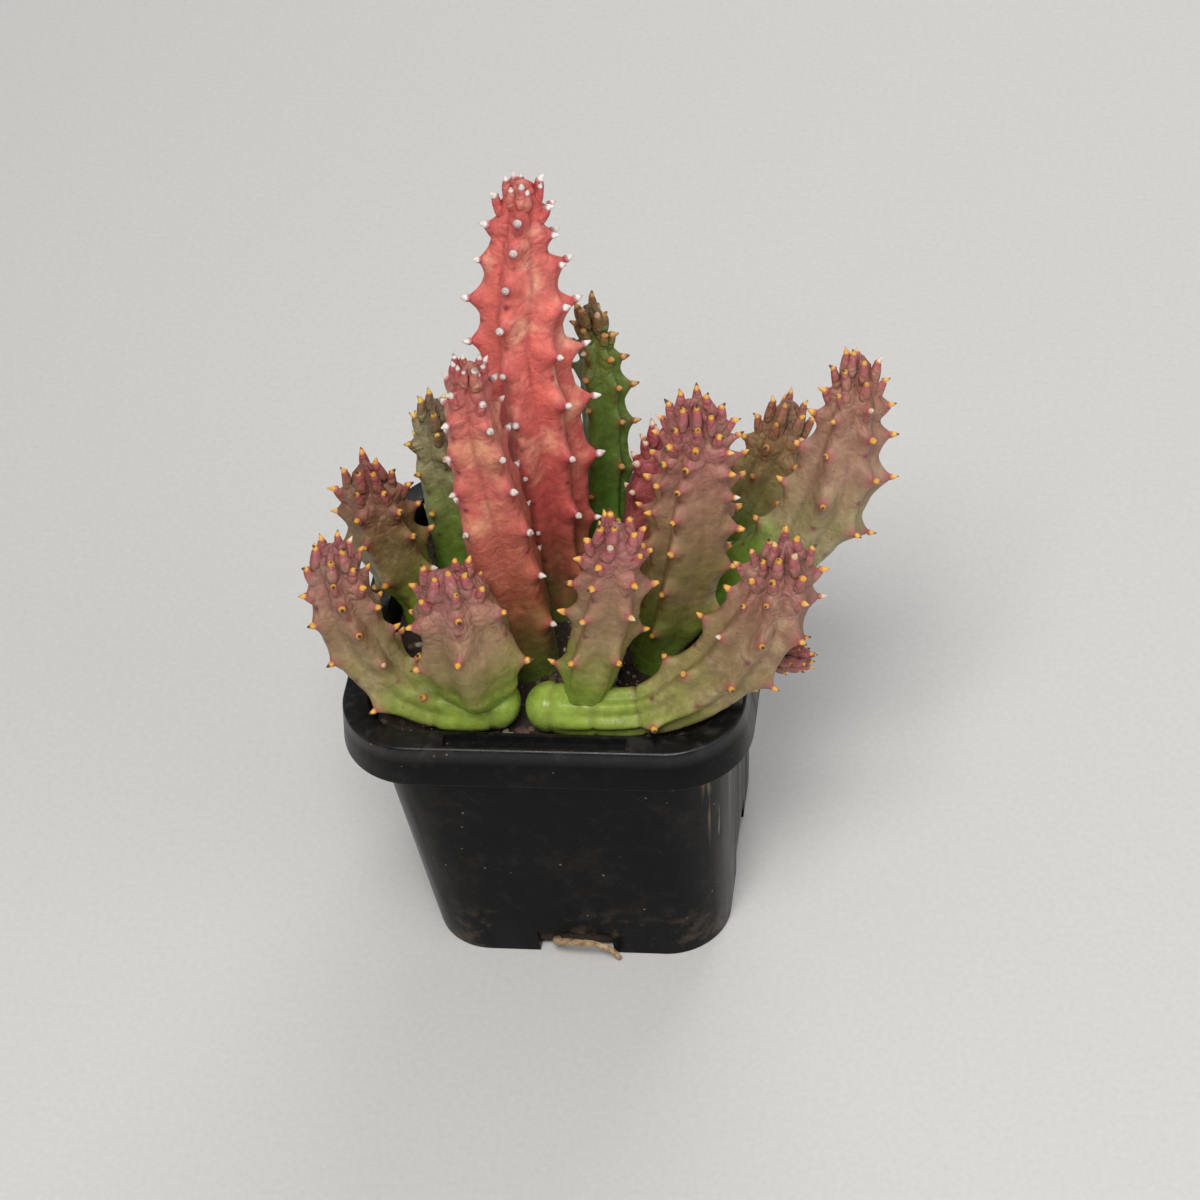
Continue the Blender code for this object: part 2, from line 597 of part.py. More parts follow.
def radius_at(stem, place, total, peg):
    """Radius to the ribs' crests, rounded off at the tip and at the start of a lying stem."""
    radius = girth_at(stem["girth"], max(place - peg, 0) / (total - peg))
    tip = stem["girth"][-1][1]
    start = stem["girth"][0][1]
    from_tip = max(total - place, 0.0)
    if from_tip < tip:
        radius *= math.sqrt(1 - (1 - from_tip / tip) ** 2)
    if stem["start"] == "lying" and place < start:
        radius *= math.sqrt(1 - (1 - place / start) ** 2)
    return radius


def neighbours_of(node):
    """Points on the middles of all stems that are not part of a node, with their radii."""
    found = []
    for name, stem in (STEMS | BRANCHES).items():
        if stem.get("parent", name) == node:
            continue
        frames, total, peg = stem_line(stem)
        for index, frame in enumerate(frames):
            place = total * index / (len(frames) - 1)
            found.append((frame[0], radius_at(stem, place, total, peg)))
    return found


def room_for(point, way, neighbours):
    """How high a tooth may stand here: half way to the next stem, and above the pot's rim."""
    room = min((point - middle).length - radius for middle, radius in neighbours)
    room = (room - NEIGHBOUR_GAP) / 2
    if way.z < 0:
        room = min(room, (point.z - POT_HEIGHT - NEIGHBOUR_GAP) / -way.z)
    return max(room, 0.0)


def flank_share(stem, from_tip, away):
    """How much of a tooth's height is left some rings away from its point."""
    rings = min(away, RINGS_PER_TOOTH - away)
    if rings == 0:
        return 1.0
    if rings > 1:
        return TOOTH_FOOT
    step = (stem["spacing"] + stem["growth"] * from_tip) / RINGS_PER_TOOTH
    return TOOTH_FLANK * min(1.0, FLANK_REACH / step)


def build_stem(name, stem, seed, neighbours):
    """A ribbed stem whose teeth are raised from its surface ring by ring."""
    draw = random.Random(seed)
    frames, total, peg = stem_line(stem)
    smooth = stem["smooth_foot"]
    rings = []
    for place, ring_number in ring_places(stem, total, peg):
        middle, along, side, across = frame_at(frames, place / total)
        radius = radius_at(stem, place, total, peg)
        from_tip = total - place
        crown = ease(1 - from_tip / CROWN_LENGTH)
        groove = (stem["groove"] + CROWN_GROOVE * crown) * ease((place - peg - GROOVE_START) / smooth)
        toothed = ease((place - peg) / smooth - TOOTH_START)
        lean = math.radians(SIDE_LEAN + CROWN_LEAN * crown)
        angles = [math.radians(turn_at(turn, from_tip)) for _, turn in stem["ribs"]]
        angles.append(angles[0] + 2 * math.pi)
        ring = []
        for (row, _), angle, after in zip(stem["ribs"], angles, angles[1:]):
            outward = side * math.cos(angle) + across * math.sin(angle)
            point = middle + outward * radius
            if ring_number is not None:
                away = (ring_number - row) % RINGS_PER_TOOTH
                height = min(stem["tooth"], CROWN_TOOTH + TOOTH_GAIN * from_tip)
                height *= 1 - TOOTH_SPREAD / 2 + TOOTH_SPREAD * draw.random()
                way = outward * math.cos(lean) + along * math.sin(lean)
                height = min(height, room_for(point, way, neighbours))
                point += way * height * toothed * flank_share(stem, from_tip, away)
            ring.append(point)
            between = (angle + after) / 2
            outward = side * math.cos(between) + across * math.sin(between)
            ring.append(middle + outward * radius * (1 - groove))
        rings.append([tuple(p) for p in ring])
    item = loft(name, rings, STEM_SMOOTH)
    end_fans(item, rings, frames[0][0], frames[-1][0], stem)
    return item


def end_fans(item, rings, first, last, stem):
    """Move the two hub points that close a stem to the true ends of its middle line."""
    count = sum(len(ring) for ring in rings)
    if stem["start"] == "lying":
        item.data.vertices[count].co = first * MM
    item.data.vertices[count + 1].co = last * MM


def build_stems():
    made = {}
    for seed, (name, stem) in enumerate(STEMS.items()):
        made[name] = build_stem(name, stem, seed, neighbours_of(name))
    joined = {}
    for seed, (name, stem) in enumerate(BRANCHES.items(), start=BRANCH_SEED):
        branch = build_stem(name, stem, seed, neighbours_of(stem["parent"]))
        joined.setdefault(stem["parent"], []).append(branch)
    for parent, branches in joined.items():
        apply_boolean(made[parent], branches, "UNION")


def build_stones():
    for seed, (name, ((x, y), radius, height)) in enumerate(STONES.items(), start=STONE_SEED):
        draw = random.Random(seed)
        work = bmesh.new()
        bmesh.ops.create_icosphere(work, subdivisions=STONE_DETAIL, radius=1.0)
        for vert in work.verts:
            vert.co *= 1 + STONE_ROUGH * (2 * draw.random() - 1)
            vert.co.z = max(vert.co.z, STONE_FLAT)
        low = min(vert.co.z for vert in work.verts)
        high = max(vert.co.z for vert in work.verts)
        matrix = Matrix.Rotation(draw.random() * math.pi, 4, "Z")
        bmesh.ops.transform(work, matrix=matrix, verts=work.verts)
        points = [(x + v.co.x * radius, y + v.co.y * radius,
                   SOIL_TOP + GAP + (v.co.z - low) / (high - low) * height) for v in work.verts]
        faces = [tuple(v.index for v in face.verts) for face in work.faces]
        work.free()
        make_object(name, points, faces, STONE_SMOOTH)


def build_root():
    points, _ = smooth_route(ROOT_ROUTE, ROOT_STEPS)
    rings = []
    for index, (middle, along, side, across) in enumerate(route_frames(points)):
        taper = 1 - ROOT_TAPER * index / len(points)
        rings.append([tuple(middle + (side * math.cos(a) + across * math.sin(a))
                            * ROOT_RADIUS * taper)
                      for a in (2 * math.pi * k / ROOT_SIDES for k in range(ROOT_SIDES))])
    loft("root", rings, ROOT_SMOOTH)


clear_scene()
build_pot()
build_soil()
build_stems()
build_stones()
build_root()
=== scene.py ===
"""The looks of the potted huernia: finely ribbed and toothed stems, gritty soil and a dusty pot.

Lengths are in millimetres in the tables and in metres in the meshes, as MM turns one into
the other. The stems follow the same routes, girths and tooth rows as the solids they replace.
"""
import json
import math
import random

import bmesh
import bpy
import numpy as np
from mathutils import Matrix, Vector, noise

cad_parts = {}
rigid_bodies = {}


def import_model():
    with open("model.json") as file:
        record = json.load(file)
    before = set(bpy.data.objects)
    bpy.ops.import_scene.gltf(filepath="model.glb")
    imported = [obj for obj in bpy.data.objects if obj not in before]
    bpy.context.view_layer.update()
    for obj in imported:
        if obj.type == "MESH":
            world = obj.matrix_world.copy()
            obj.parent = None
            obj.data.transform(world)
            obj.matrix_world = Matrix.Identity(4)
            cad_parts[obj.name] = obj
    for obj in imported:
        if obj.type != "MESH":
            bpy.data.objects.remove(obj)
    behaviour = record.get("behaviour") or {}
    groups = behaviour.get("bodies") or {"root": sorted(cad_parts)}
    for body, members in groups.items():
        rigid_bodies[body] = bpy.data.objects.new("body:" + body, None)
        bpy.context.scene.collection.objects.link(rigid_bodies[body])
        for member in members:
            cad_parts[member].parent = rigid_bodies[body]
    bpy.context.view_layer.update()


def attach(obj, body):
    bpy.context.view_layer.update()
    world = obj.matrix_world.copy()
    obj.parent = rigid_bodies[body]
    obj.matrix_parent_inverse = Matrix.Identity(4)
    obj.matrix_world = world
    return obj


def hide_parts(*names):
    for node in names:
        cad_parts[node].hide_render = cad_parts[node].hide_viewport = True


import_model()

MM = 0.001
BODY = "root"

# Camera, found from the pot's rim, skirt and foot in the photograph
PHOTO_SIZE = 1200
FOCAL_PIXELS = 3552.9
SENSOR_MM = 36.0
CAMERA_AZIMUTH = 13.2
CAMERA_ELEVATION = 44.08
CAMERA_ROLL = -8.29
CAMERA_TARGET = (7.24, 0.0, 63.4)
CAMERA_DISTANCE = 619.7

# Pot
POT_HEIGHT = 61.8
RIM_HALF = 35.0
RIM_CORNER = 13.2
LEDGE_WIDTH = 4.5
LEDGE_THICK = 2.2
SKIRT_HEIGHT = 8.2
SKIRT_FLARE = 0.8
WALL = 1.1
EDGE_ROUND = 0.7
SMALL_ROUND = 0.3
BODY_TOP_HALF = 31.6
BODY_TOP_CORNER = 12.0
BODY_FOOT_HALF = 27.0
BODY_FOOT_CORNER = 11.0
FLOOR_THICK = 1.2
CORNER_STEPS = 20
SIDE_STEPS = 12
NOTCH_WIDTH = 13.6
NOTCH_HEIGHT = 5.5
NOTCH_DEPTH = 2.5
DRAIN_RADIUS = 3.5
DRAIN_OFFSET = 13.0
RECESS_LENGTH = 31.4
RECESS_WIDTH = 2.6
RECESS_DEPTH = 1.4

# Soil
SOIL_TOP = 56.0
SOIL_GAP = 0.2
PEG_DEPTH = 7.5
SOIL_RINGS = 70
GRAINS = 2600

# Stems: how their ribs and teeth are laid out, as in the solids they replace
RINGS_PER_TOOTH = 5
STAGGER = 2
CROWN_LENGTH = 6.0
CROWN_GROOVE = 0.10
CROWN_TOOTH = 2.0
TOOTH_GAIN = 0.08
TOOTH_SPREAD = 0.3
SIDE_LEAN = 18.0
CROWN_LEAN = 52.0
TOOTH_START = 0.4
NEIGHBOUR_GAP = 0.6
ROUTE_STEPS = 60
SPAN_STEPS = 12

# Stems: the finer mesh and relief that is added here
RING_STEP = 0.3               # widest spacing of rings where there are teeth
SMOOTH_STEP = 0.45            # and on the smooth foot
PEG_STEP = 2.5                # and in the soil
COLUMNS_PER_RIB = 16
CREST_CROWDING = 1.2          # columns stand closer together near the crest
SHARP_GROOVE_POWER = 1.5
SPINE_LENGTH = 1.4            # the coloured point at the end of each tooth
SPINE_RADIUS = 0.56
FINGER_RADIUS = 0.92          # the teeth of the crown stand as separate fingers
FINGER_LENGTH = 3.0           # how far below its tooth a finger begins
FINGER_SUNK = 1.0             # and how deep
FINGER_SHAPE = [(0, 0.9), (0.3, 1.06), (0.6, 0.96), (0.85, 0.76), (1, 0.58)]
FINGER_RINGS = 12
FINGER_REACH = 8.0            # distance from the tip over which fingers pass into broad teeth
TUFT_DEPTH = 1.6              # extra fingers stand this far below the tip
TUFT_LEAN = 16.0
TUFT_HEIGHT = 1.7
DOME_SUNK = 0.9               # how far the crown's dome lies below the fingers' feet
LEAST_TOOTH = 0.4
WIDEST_TOOTH = 3.8            # half the length of a tooth's broad foot
CREASE_WIDTH = 0.20
CREASE_DEPTH = 0.20
TOOTH_SIDES = 10
TOOTH_RINGS = 9


def even_ribs(count, first):
    """Ribs spaced evenly round a stem, their teeth staggered from one to the next."""
    return [(rib * STAGGER % RINGS_PER_TOOTH, [(0, first + 360 * rib / count)])
            for rib in range(count)]


STEMS = {
    "stem_tall_red": dict(
        look="coral", slot="stem_red", tuft=5, start="peg",
        route=[(-1, 7.5, 56), (-1.2, 7.6, 61), (-1.5, 8.2, 80.5), (-2, 8.7, 96),
               (-1.8, 9.6, 115), (-0.6, 11, 131), (1.6, 12.5, 146.1)],
        girth=[(0, 5.2), (0.15, 6.6), (0.42, 8.6), (0.74, 6.8), (0.92, 4.2), (1, 2.9)],
        ribs=[(4, [(0, 198), (9, 198), (15, 210), (30, 212), (60, 205)]),
              (1, [(0, 277), (5, 274), (10, 270), (16, 264), (24, 258), (32, 258), (45, 267)]),
              (0, [(0, 350), (17, 354), (30, 320), (60, 314)]),
              (2, [(0, 400), (17, 396), (30, 376), (60, 355)]),
              (3, [(0, 480), (60, 460)])],
        groove=0.25, tooth=4.2, spacing=4.2, growth=0.15, smooth_foot=10),
    "stem_red": dict(
        look="salmon", slot="stem_red", tuft=7, start="peg",
        route=[(-4.5, -8, 56), (-4.6, -8.2, 61), (-5.5, -8.9, 72), (-6.3, -9.4, 84),
               (-6.9, -9.8, 100), (-7.4, -10, 115), (-6.3, -10, 126.6)],
        girth=[(0, 4.8), (0.2, 6.6), (0.45, 7), (0.75, 5.3), (0.9, 4.2), (1, 2.6)],
        ribs=[(0, [(0, 238), (24, 240), (33, 246)]),
              (1, [(0, 302), (5, 306), (11, 312), (18, 318), (36, 327)]),
              (3, [(0, 415)]), (2, [(0, 505)])],
        groove=0.26, tooth=3.2, spacing=4.2, growth=0.16, smooth_foot=10),
    "stem_left_back": dict(
        look="grey_green", slot="stem_green", start="peg",
        route=[(-21.5, 15, 56), (-21.5, 15.1, 60), (-21.8, 16, 71.5), (-22, 17.5, 82.5),
               (-21.3, 19.5, 92.6)],
        girth=[(0, 3.6), (0.35, 4.5), (0.75, 4.1), (1, 2.3)],
        ribs=[(3, [(0, 190), (4, 190), (7, 220), (13, 240), (21, 258)]),
              (0, [(0, 270), (7, 290), (20, 325)]),
              (2, [(0, 350), (20, 385)]), (4, [(0, 430)]), (1, [(0, 500)])],
        groove=0.2, tooth=3.0, spacing=1.8, growth=0.35, smooth_foot=6),
    "stem_left": dict(
        look="brown_dark", slot="stem_brown", start="peg",
        route=[(-24.8, 2.5, 56), (-25, 2.5, 61), (-27.6, 2.2, 68.5), (-29.7, 2, 77),
               (-30.6, 2.2, 86), (-30.9, 2.5, 93.1)],
        girth=[(0, 4.2), (0.18, 4.5), (0.5, 5.9), (0.8, 5.3), (1, 2.7)],
        ribs=[(0, [(0, 192)]), (3, [(0, 260), (14, 260), (25, 267)]),
              (4, [(0, 310), (4, 314), (9, 327), (20, 338)]),
              (2, [(0, 355), (5, 368), (20, 385)]), (1, [(0, 465)])],
        groove=0.2, tooth=3.2, spacing=1.7, growth=0.4, smooth_foot=6),
    "stem_front_left": dict(
        look="brown", slot="stem_brown", pinches=[5.5, 14.0], start="lying",
        route=[(-3.8, -22, 61.2), (-13, -23.6, 61), (-20.5, -23.3, 62.4), (-26.8, -22.2, 67.4),
               (-31, -21, 77), (-32.6, -20, 87.5), (-32.4, -19.2, 94.6)],
        girth=[(0, 4.7), (0.25, 4.7), (0.45, 5.1), (0.7, 5.9), (0.88, 4.9), (1, 2.6)],
        ribs=[(3, [(0, 205), (4, 226), (8, 238), (13, 243), (35, 250)]),
              (0, [(0, 286), (6, 291), (15, 306), (25, 318)]),
              (3, [(0, 336), (8, 338), (20, 365), (40, 385)]),
              (1, [(0, 425)]), (4, [(0, 500)])],
        groove=0.2, tooth=3.0, spacing=1.8, growth=0.35, smooth_foot=14),
    "stem_right": dict(
        look="brown_pink", slot="stem_brown", start="peg",
        route=[(17.5, -6, 56), (17.8, -6.2, 61), (21.2, -6.5, 69), (24.6, -6.8, 81.5),
               (27, -6.6, 94), (28.5, -6.2, 106), (29.1, -6, 115.6)],
        girth=[(0, 4.6), (0.25, 6.6), (0.5, 6.9), (0.75, 6), (0.9, 5), (1, 3)],
        ribs=[(3, [(0, 238), (4, 235), (8, 226), (19, 217)]),
              (2, [(0, 283), (6, 276), (10, 262), (15, 252)]),
              (0, [(0, 312), (5, 318), (8, 327), (13, 329), (22, 340)]),
              (1, [(0, 368), (9, 374), (22, 390)]), (4, [(0, 450)]), (2, [(0, 522)])],
        groove=0.2, tooth=3.4, spacing=2.0, growth=0.22, smooth_foot=8),
    "stem_dark_red": dict(
        look="dark_red", slot="stem_dark_red", start="peg",
        route=[(12, 9.5, 56), (12.1, 9.6, 60), (13.6, 10.5, 67), (16, 12, 77),
               (18.4, 13.5, 85), (20, 14.3, 91.2)],
        girth=[(0, 3.6), (0.4, 4.5), (0.75, 4.2), (1, 2.2)],
        ribs=[(2, [(0, 214), (6, 216), (13, 240)]), (4, [(0, 288), (13, 305)]),
              (1, [(0, 362)]), (3, [(0, 432)]), (0, [(0, 504)])],
        groove=0.22, tooth=2.8, spacing=2.0, growth=0.32, smooth_foot=6),
    "stem_dark_green": dict(
        look="dark_green", slot="stem_green", start="peg",
        route=[(4, 18.8, 56), (4.1, 18.9, 60), (5.8, 20.4, 69), (7, 21.8, 80), (7.5, 23.2, 90),
               (7.3, 24.4, 100.5), (6.6, 25.6, 109.1)],
        girth=[(0, 3.5), (0.3, 4.2), (0.7, 4), (1, 1.9)],
        ribs=[(2, [(0, 250)]), (4, [(0, 314)]), (0, [(0, 348), (25, 354)]),
              (1, [(0, 432)]), (3, [(0, 520)])],
        groove=0.22, tooth=3.0, spacing=2.4, growth=0.25, smooth_foot=8),
    "stem_right_back": dict(
        look="olive", slot="stem_olive", start="peg",
        route=[(24.3, 13.5, 56), (24.5, 13.7, 61.5), (28.6, 15.2, 68.5), (33.5, 17, 74),
               (37.6, 20, 82), (40.5, 23, 89.8)],
        girth=[(0, 3.8), (0.2, 4.1), (0.5, 5.1), (0.8, 4.8), (1, 2.7)],
        ribs=[(4, [(0, 192)]), (3, [(0, 246)]), (0, [(0, 308)]), (2, [(0, 358)]),
              (1, [(0, 460)])],
        groove=0.2, tooth=3.0, spacing=1.8, growth=0.38, smooth_foot=8),
    "stem_far_right": dict(
        look="rosy", slot="stem_brown", start="peg",
        route=[(25.2, 2.6, 56), (25.4, 2.7, 61.5), (30.6, 2.8, 68.3), (38, 2.8, 72.5),
               (44.4, 3.6, 79), (49.4, 5.6, 88.5), (52.7, 8.8, 100.5), (54.3, 11.6, 110.2)],
        girth=[(0, 4), (0.15, 4.4), (0.45, 6.6), (0.62, 7), (0.85, 4.9), (1, 2.5)],
        ribs=[(2, [(0, 185), (12, 190)]),
              (1, [(0, 224), (6, 234), (10, 234), (17, 240), (24, 255), (35, 262)]),
              (3, [(0, 280), (5, 288), (8, 291), (14, 300), (20, 309)]),
              (4, [(0, 355)]), (0, [(0, 450)])],
        groove=0.21, tooth=4.0, spacing=2.0, growth=0.3, smooth_foot=16),
    "stem_front_right": dict(
        look="brown", slot="stem_brown", pinches=[5.0, 12.5, 20.5], start="lying",
        route=[(-2.8, -23, 61), (8, -24, 60.9), (18, -24.2, 62), (26, -23, 66),
               (33.2, -21.5, 72), (39.2, -20, 80.5), (42.6, -18.5, 89), (43.8, -18.1, 95.6)],
        girth=[(0, 4.5), (0.28, 4.5), (0.48, 6.1), (0.7, 7.1), (0.88, 5.8), (1, 3)],
        ribs=[(3, [(0, -4)]), (2, [(0, 30), (12, 42), (20, 37)]),
              (0, [(0, 66), (10, 69), (16, 82), (27, 87)]),
              (4, [(0, 104), (4, 117), (8, 121), (15, 129), (27, 136)]),
              (1, [(0, 182)]), (3, [(0, 268)])],
        groove=0.2, tooth=3.2, spacing=1.6, growth=0.42, smooth_foot=18),
}
BRANCHES = {
    "stub": dict(
        look="brown_pink", parent="stem_front_left", start="branch",
        route=[(-10.8, -22.8, 61.5), (-10.4, -23.6, 71), (-11.2, -24, 81), (-12.2, -24.6, 90),
               (-12, -24.9, 94.6)],
        girth=[(0, 3.8), (0.2, 7.2), (0.42, 8.4), (0.7, 6.9), (0.88, 4.9), (1, 2.8)],
        ribs=[(3, [(0, 236), (3, 236), (9, 215)]), (1, [(0, 300), (2, 300), (6, 291), (15, 273)]),
              (4, [(0, 350)]), (2, [(0, 412)]), (0, [(0, 530)])],
        groove=0.2, tooth=3.4, spacing=1.3, growth=0.65, smooth_foot=6),
    "front_shoot": dict(
        look="brown_pink", parent="stem_front_right", start="branch",
        route=[(6.8, -23.6, 60.5), (9.9, -22.8, 71.5), (13.4, -22.7, 83), (15.6, -23, 95),
               (17, -23.5, 104.1)],
        girth=[(0, 3.2), (0.25, 4.8), (0.6, 5.4), (0.85, 4.5), (1, 2.6)],
        ribs=[(3, [(0, 212), (4, 203), (13, 204), (29, 182)]),
              (1, [(0, 274), (2, 273), (5, 252), (11, 246), (25, 238)]),
              (0, [(0, 350), (2, 348), (5, 336), (10, 312), (25, 304)]),
              (4, [(0, 410), (5, 392), (16, 370)]), (2, [(0, 480)])],
        groove=0.2, tooth=3.2, spacing=1.6, growth=0.42, smooth_foot=6),
    "side_bud": dict(
        look="brown_pink", parent="stem_front_right", start="branch",
        route=[(34.5, -20, 71), (40, -17.2, 68), (46, -17.6, 67.5)],
        girth=[(0, 1.9), (0.5, 2.3), (1, 1.3)],
        ribs=even_ribs(5, 30),
        groove=0.2, tooth=1.5, spacing=1.2, growth=0.35, smooth_foot=6),
}

STONES = {
    "stone_brown": ((-3.4, -26.6), 1.5, 2.4, (0.16, 0.085, 0.075)),
    "stone_pale": ((9.6, -13.6), 1.9, 2.2, (0.52, 0.47, 0.42)),
    "stone_left": ((-15.5, -6.5), 1.6, 1.8, (0.25, 0.21, 0.17)),
    "stone_back": ((-11.5, 20.5), 1.8, 2.0, (0.36, 0.31, 0.26)),
    "stone_corner": ((14.5, 23.5), 1.5, 1.7, (0.22, 0.15, 0.12)),
}

ROOT_ROUTE = [(-3.6, -26.1, 2.6), (-3.4, -27.6, 3.4), (-0.4, -28.6, 4.6), (3.8, -28.6, 4.2),
              (6.6, -28.6, 2.8), (8.0, -28.8, 0.85)]
ROOT_RADIUS = 0.7

# Each look: skin colours from foot to tip with their places along the stem, the tint
# around the teeth, the colour of grooves and creases (their painted shade, also used for
# the specks), and how much it is blotched
LOOKS = {
    "coral": dict(
        skin=[(0.0, (0.17, 0.23, 0.05)), (0.12, (0.36, 0.14, 0.07)), (0.28, (0.60, 0.115, 0.10)),
              (0.55, (0.72, 0.165, 0.135)), (0.80, (0.76, 0.18, 0.145)), (1.0, (0.62, 0.115, 0.105))],
        blotch=(0.88, 0.42, 0.28), tooth=(0.40, 0.035, 0.055), line=(0.34, 0.055, 0.045),
        spine=(0.88, 0.80, 0.76), spine_tip=(0.66, 0.55, 0.50), blunt=0.35, furrow_shade_and_fold=0.75,
        mottle=0.85),
    "salmon": dict(
        skin=[(0.0, (0.14, 0.20, 0.035)), (0.14, (0.24, 0.15, 0.05)), (0.30, (0.46, 0.13, 0.075)),
              (0.60, (0.62, 0.155, 0.115)), (0.86, (0.62, 0.17, 0.135)), (1.0, (0.40, 0.13, 0.125))],
        blotch=(0.74, 0.36, 0.20), tooth=(0.40, 0.04, 0.06), line=(0.26, 0.055, 0.04),
        spine=(0.84, 0.76, 0.70), spine_tip=(0.45, 0.33, 0.28), blunt=0.25, furrow_shade_and_fold=0.8,
        mottle=0.75),
    "brown": dict(
        skin=[(0.0, (0.30, 0.43, 0.065)), (0.28, (0.28, 0.36, 0.06)), (0.46, (0.29, 0.25, 0.085)),
              (0.68, (0.29, 0.185, 0.095)), (0.87, (0.37, 0.165, 0.125)), (1.0, (0.42, 0.155, 0.15))],
        blotch=(0.40, 0.32, 0.17), tooth=(0.40, 0.085, 0.11), line=(0.11, 0.05, 0.035),
        spine=(0.88, 0.46, 0.08), spine_tip=(0.07, 0.04, 0.03), blunt=0.1, furrow_shade_and_fold=0.3,
        mottle=0.5),
    "brown_pink": dict(
        skin=[(0.0, (0.18, 0.32, 0.04)), (0.18, (0.23, 0.29, 0.045)), (0.38, (0.28, 0.22, 0.08)),
              (0.64, (0.32, 0.185, 0.105)), (0.85, (0.42, 0.165, 0.14)), (1.0, (0.44, 0.155, 0.155))],
        blotch=(0.40, 0.27, 0.15), tooth=(0.42, 0.08, 0.11), line=(0.12, 0.05, 0.035),
        spine=(0.88, 0.46, 0.08), spine_tip=(0.07, 0.04, 0.03), blunt=0.1, furrow_shade_and_fold=0.3,
        mottle=0.5),
    "brown_dark": dict(
        skin=[(0.0, (0.22, 0.38, 0.035)), (0.20, (0.24, 0.32, 0.04)), (0.40, (0.22, 0.19, 0.05)),
              (0.68, (0.23, 0.135, 0.06)), (0.9, (0.29, 0.11, 0.08)), (1.0, (0.34, 0.10, 0.095))],
        blotch=(0.30, 0.23, 0.10), tooth=(0.34, 0.07, 0.08), line=(0.085, 0.04, 0.028),
        spine=(0.88, 0.44, 0.08), spine_tip=(0.08, 0.04, 0.03), blunt=0.1, furrow_shade_and_fold=0.3,
        mottle=0.5),
    "rosy": dict(
        skin=[(0.0, (0.17, 0.34, 0.04)), (0.34, (0.20, 0.34, 0.05)), (0.50, (0.32, 0.29, 0.13)),
              (0.68, (0.36, 0.215, 0.14)), (0.88, (0.38, 0.175, 0.12)), (1.0, (0.42, 0.15, 0.12))],
        blotch=(0.46, 0.33, 0.21), tooth=(0.42, 0.08, 0.12), line=(0.13, 0.055, 0.04),
        spine=(0.88, 0.48, 0.10), spine_tip=(0.16, 0.07, 0.04), blunt=0.15, furrow_shade_and_fold=0.5,
        mottle=0.5),
    "olive": dict(
        skin=[(0.0, (0.17, 0.31, 0.035)), (0.35, (0.20, 0.28, 0.045)), (0.6, (0.25, 0.215, 0.07)),
              (0.85, (0.30, 0.155, 0.08)), (1.0, (0.32, 0.13, 0.095))],
        blotch=(0.32, 0.28, 0.12), tooth=(0.32, 0.09, 0.07), line=(0.09, 0.05, 0.028),
        spine=(0.86, 0.46, 0.10), spine_tip=(0.20, 0.09, 0.05), blunt=0.15, furrow_shade_and_fold=0.4,
        mottle=0.5),
    "grey_green": dict(
        skin=[(0.0, (0.17, 0.31, 0.04)), (0.3, (0.18, 0.27, 0.045)), (0.62, (0.27, 0.27, 0.115)),
              (0.84, (0.26, 0.21, 0.11)), (1.0, (0.17, 0.095, 0.06))],
        blotch=(0.34, 0.35, 0.18), tooth=(0.25, 0.11, 0.06), line=(0.08, 0.055, 0.03),
        spine=(0.88, 0.60, 0.12), spine_tip=(0.30, 0.16, 0.05), blunt=0.1, furrow_shade_and_fold=0.4,
        mottle=0.6),
    "dark_green": dict(
        skin=[(0.0, (0.11, 0.23, 0.03)), (0.3, (0.10, 0.21, 0.03)), (0.74, (0.155, 0.25, 0.045)),
              (0.90, (0.17, 0.19, 0.05)), (1.0, (0.24, 0.105, 0.06))],
        blotch=(0.11, 0.085, 0.035), tooth=(0.22, 0.11, 0.04), line=(0.05, 0.055, 0.018),
        spine=(0.62, 0.34, 0.10), spine_tip=(0.20, 0.09, 0.05), blunt=0.2, furrow_shade_and_fold=0.3,
        mottle=0.45),
    "dark_red": dict(
        skin=[(0.0, (0.14, 0.20, 0.035)), (0.22, (0.20, 0.09, 0.04)), (0.48, (0.28, 0.055, 0.05)),
              (1.0, (0.40, 0.09, 0.10))],
        blotch=(0.38, 0.13, 0.09), tooth=(0.34, 0.045, 0.06), line=(0.10, 0.02, 0.02),
        spine=(0.84, 0.60, 0.44), spine_tip=(0.4, 0.26, 0.2), blunt=0.3, furrow_shade_and_fold=0.5,
        mottle=0.5),
}


def ease(value):
    value = np.clip(value, 0.0, 1.0)
    return value * value * (3 - 2 * value)


# Nodes of a material

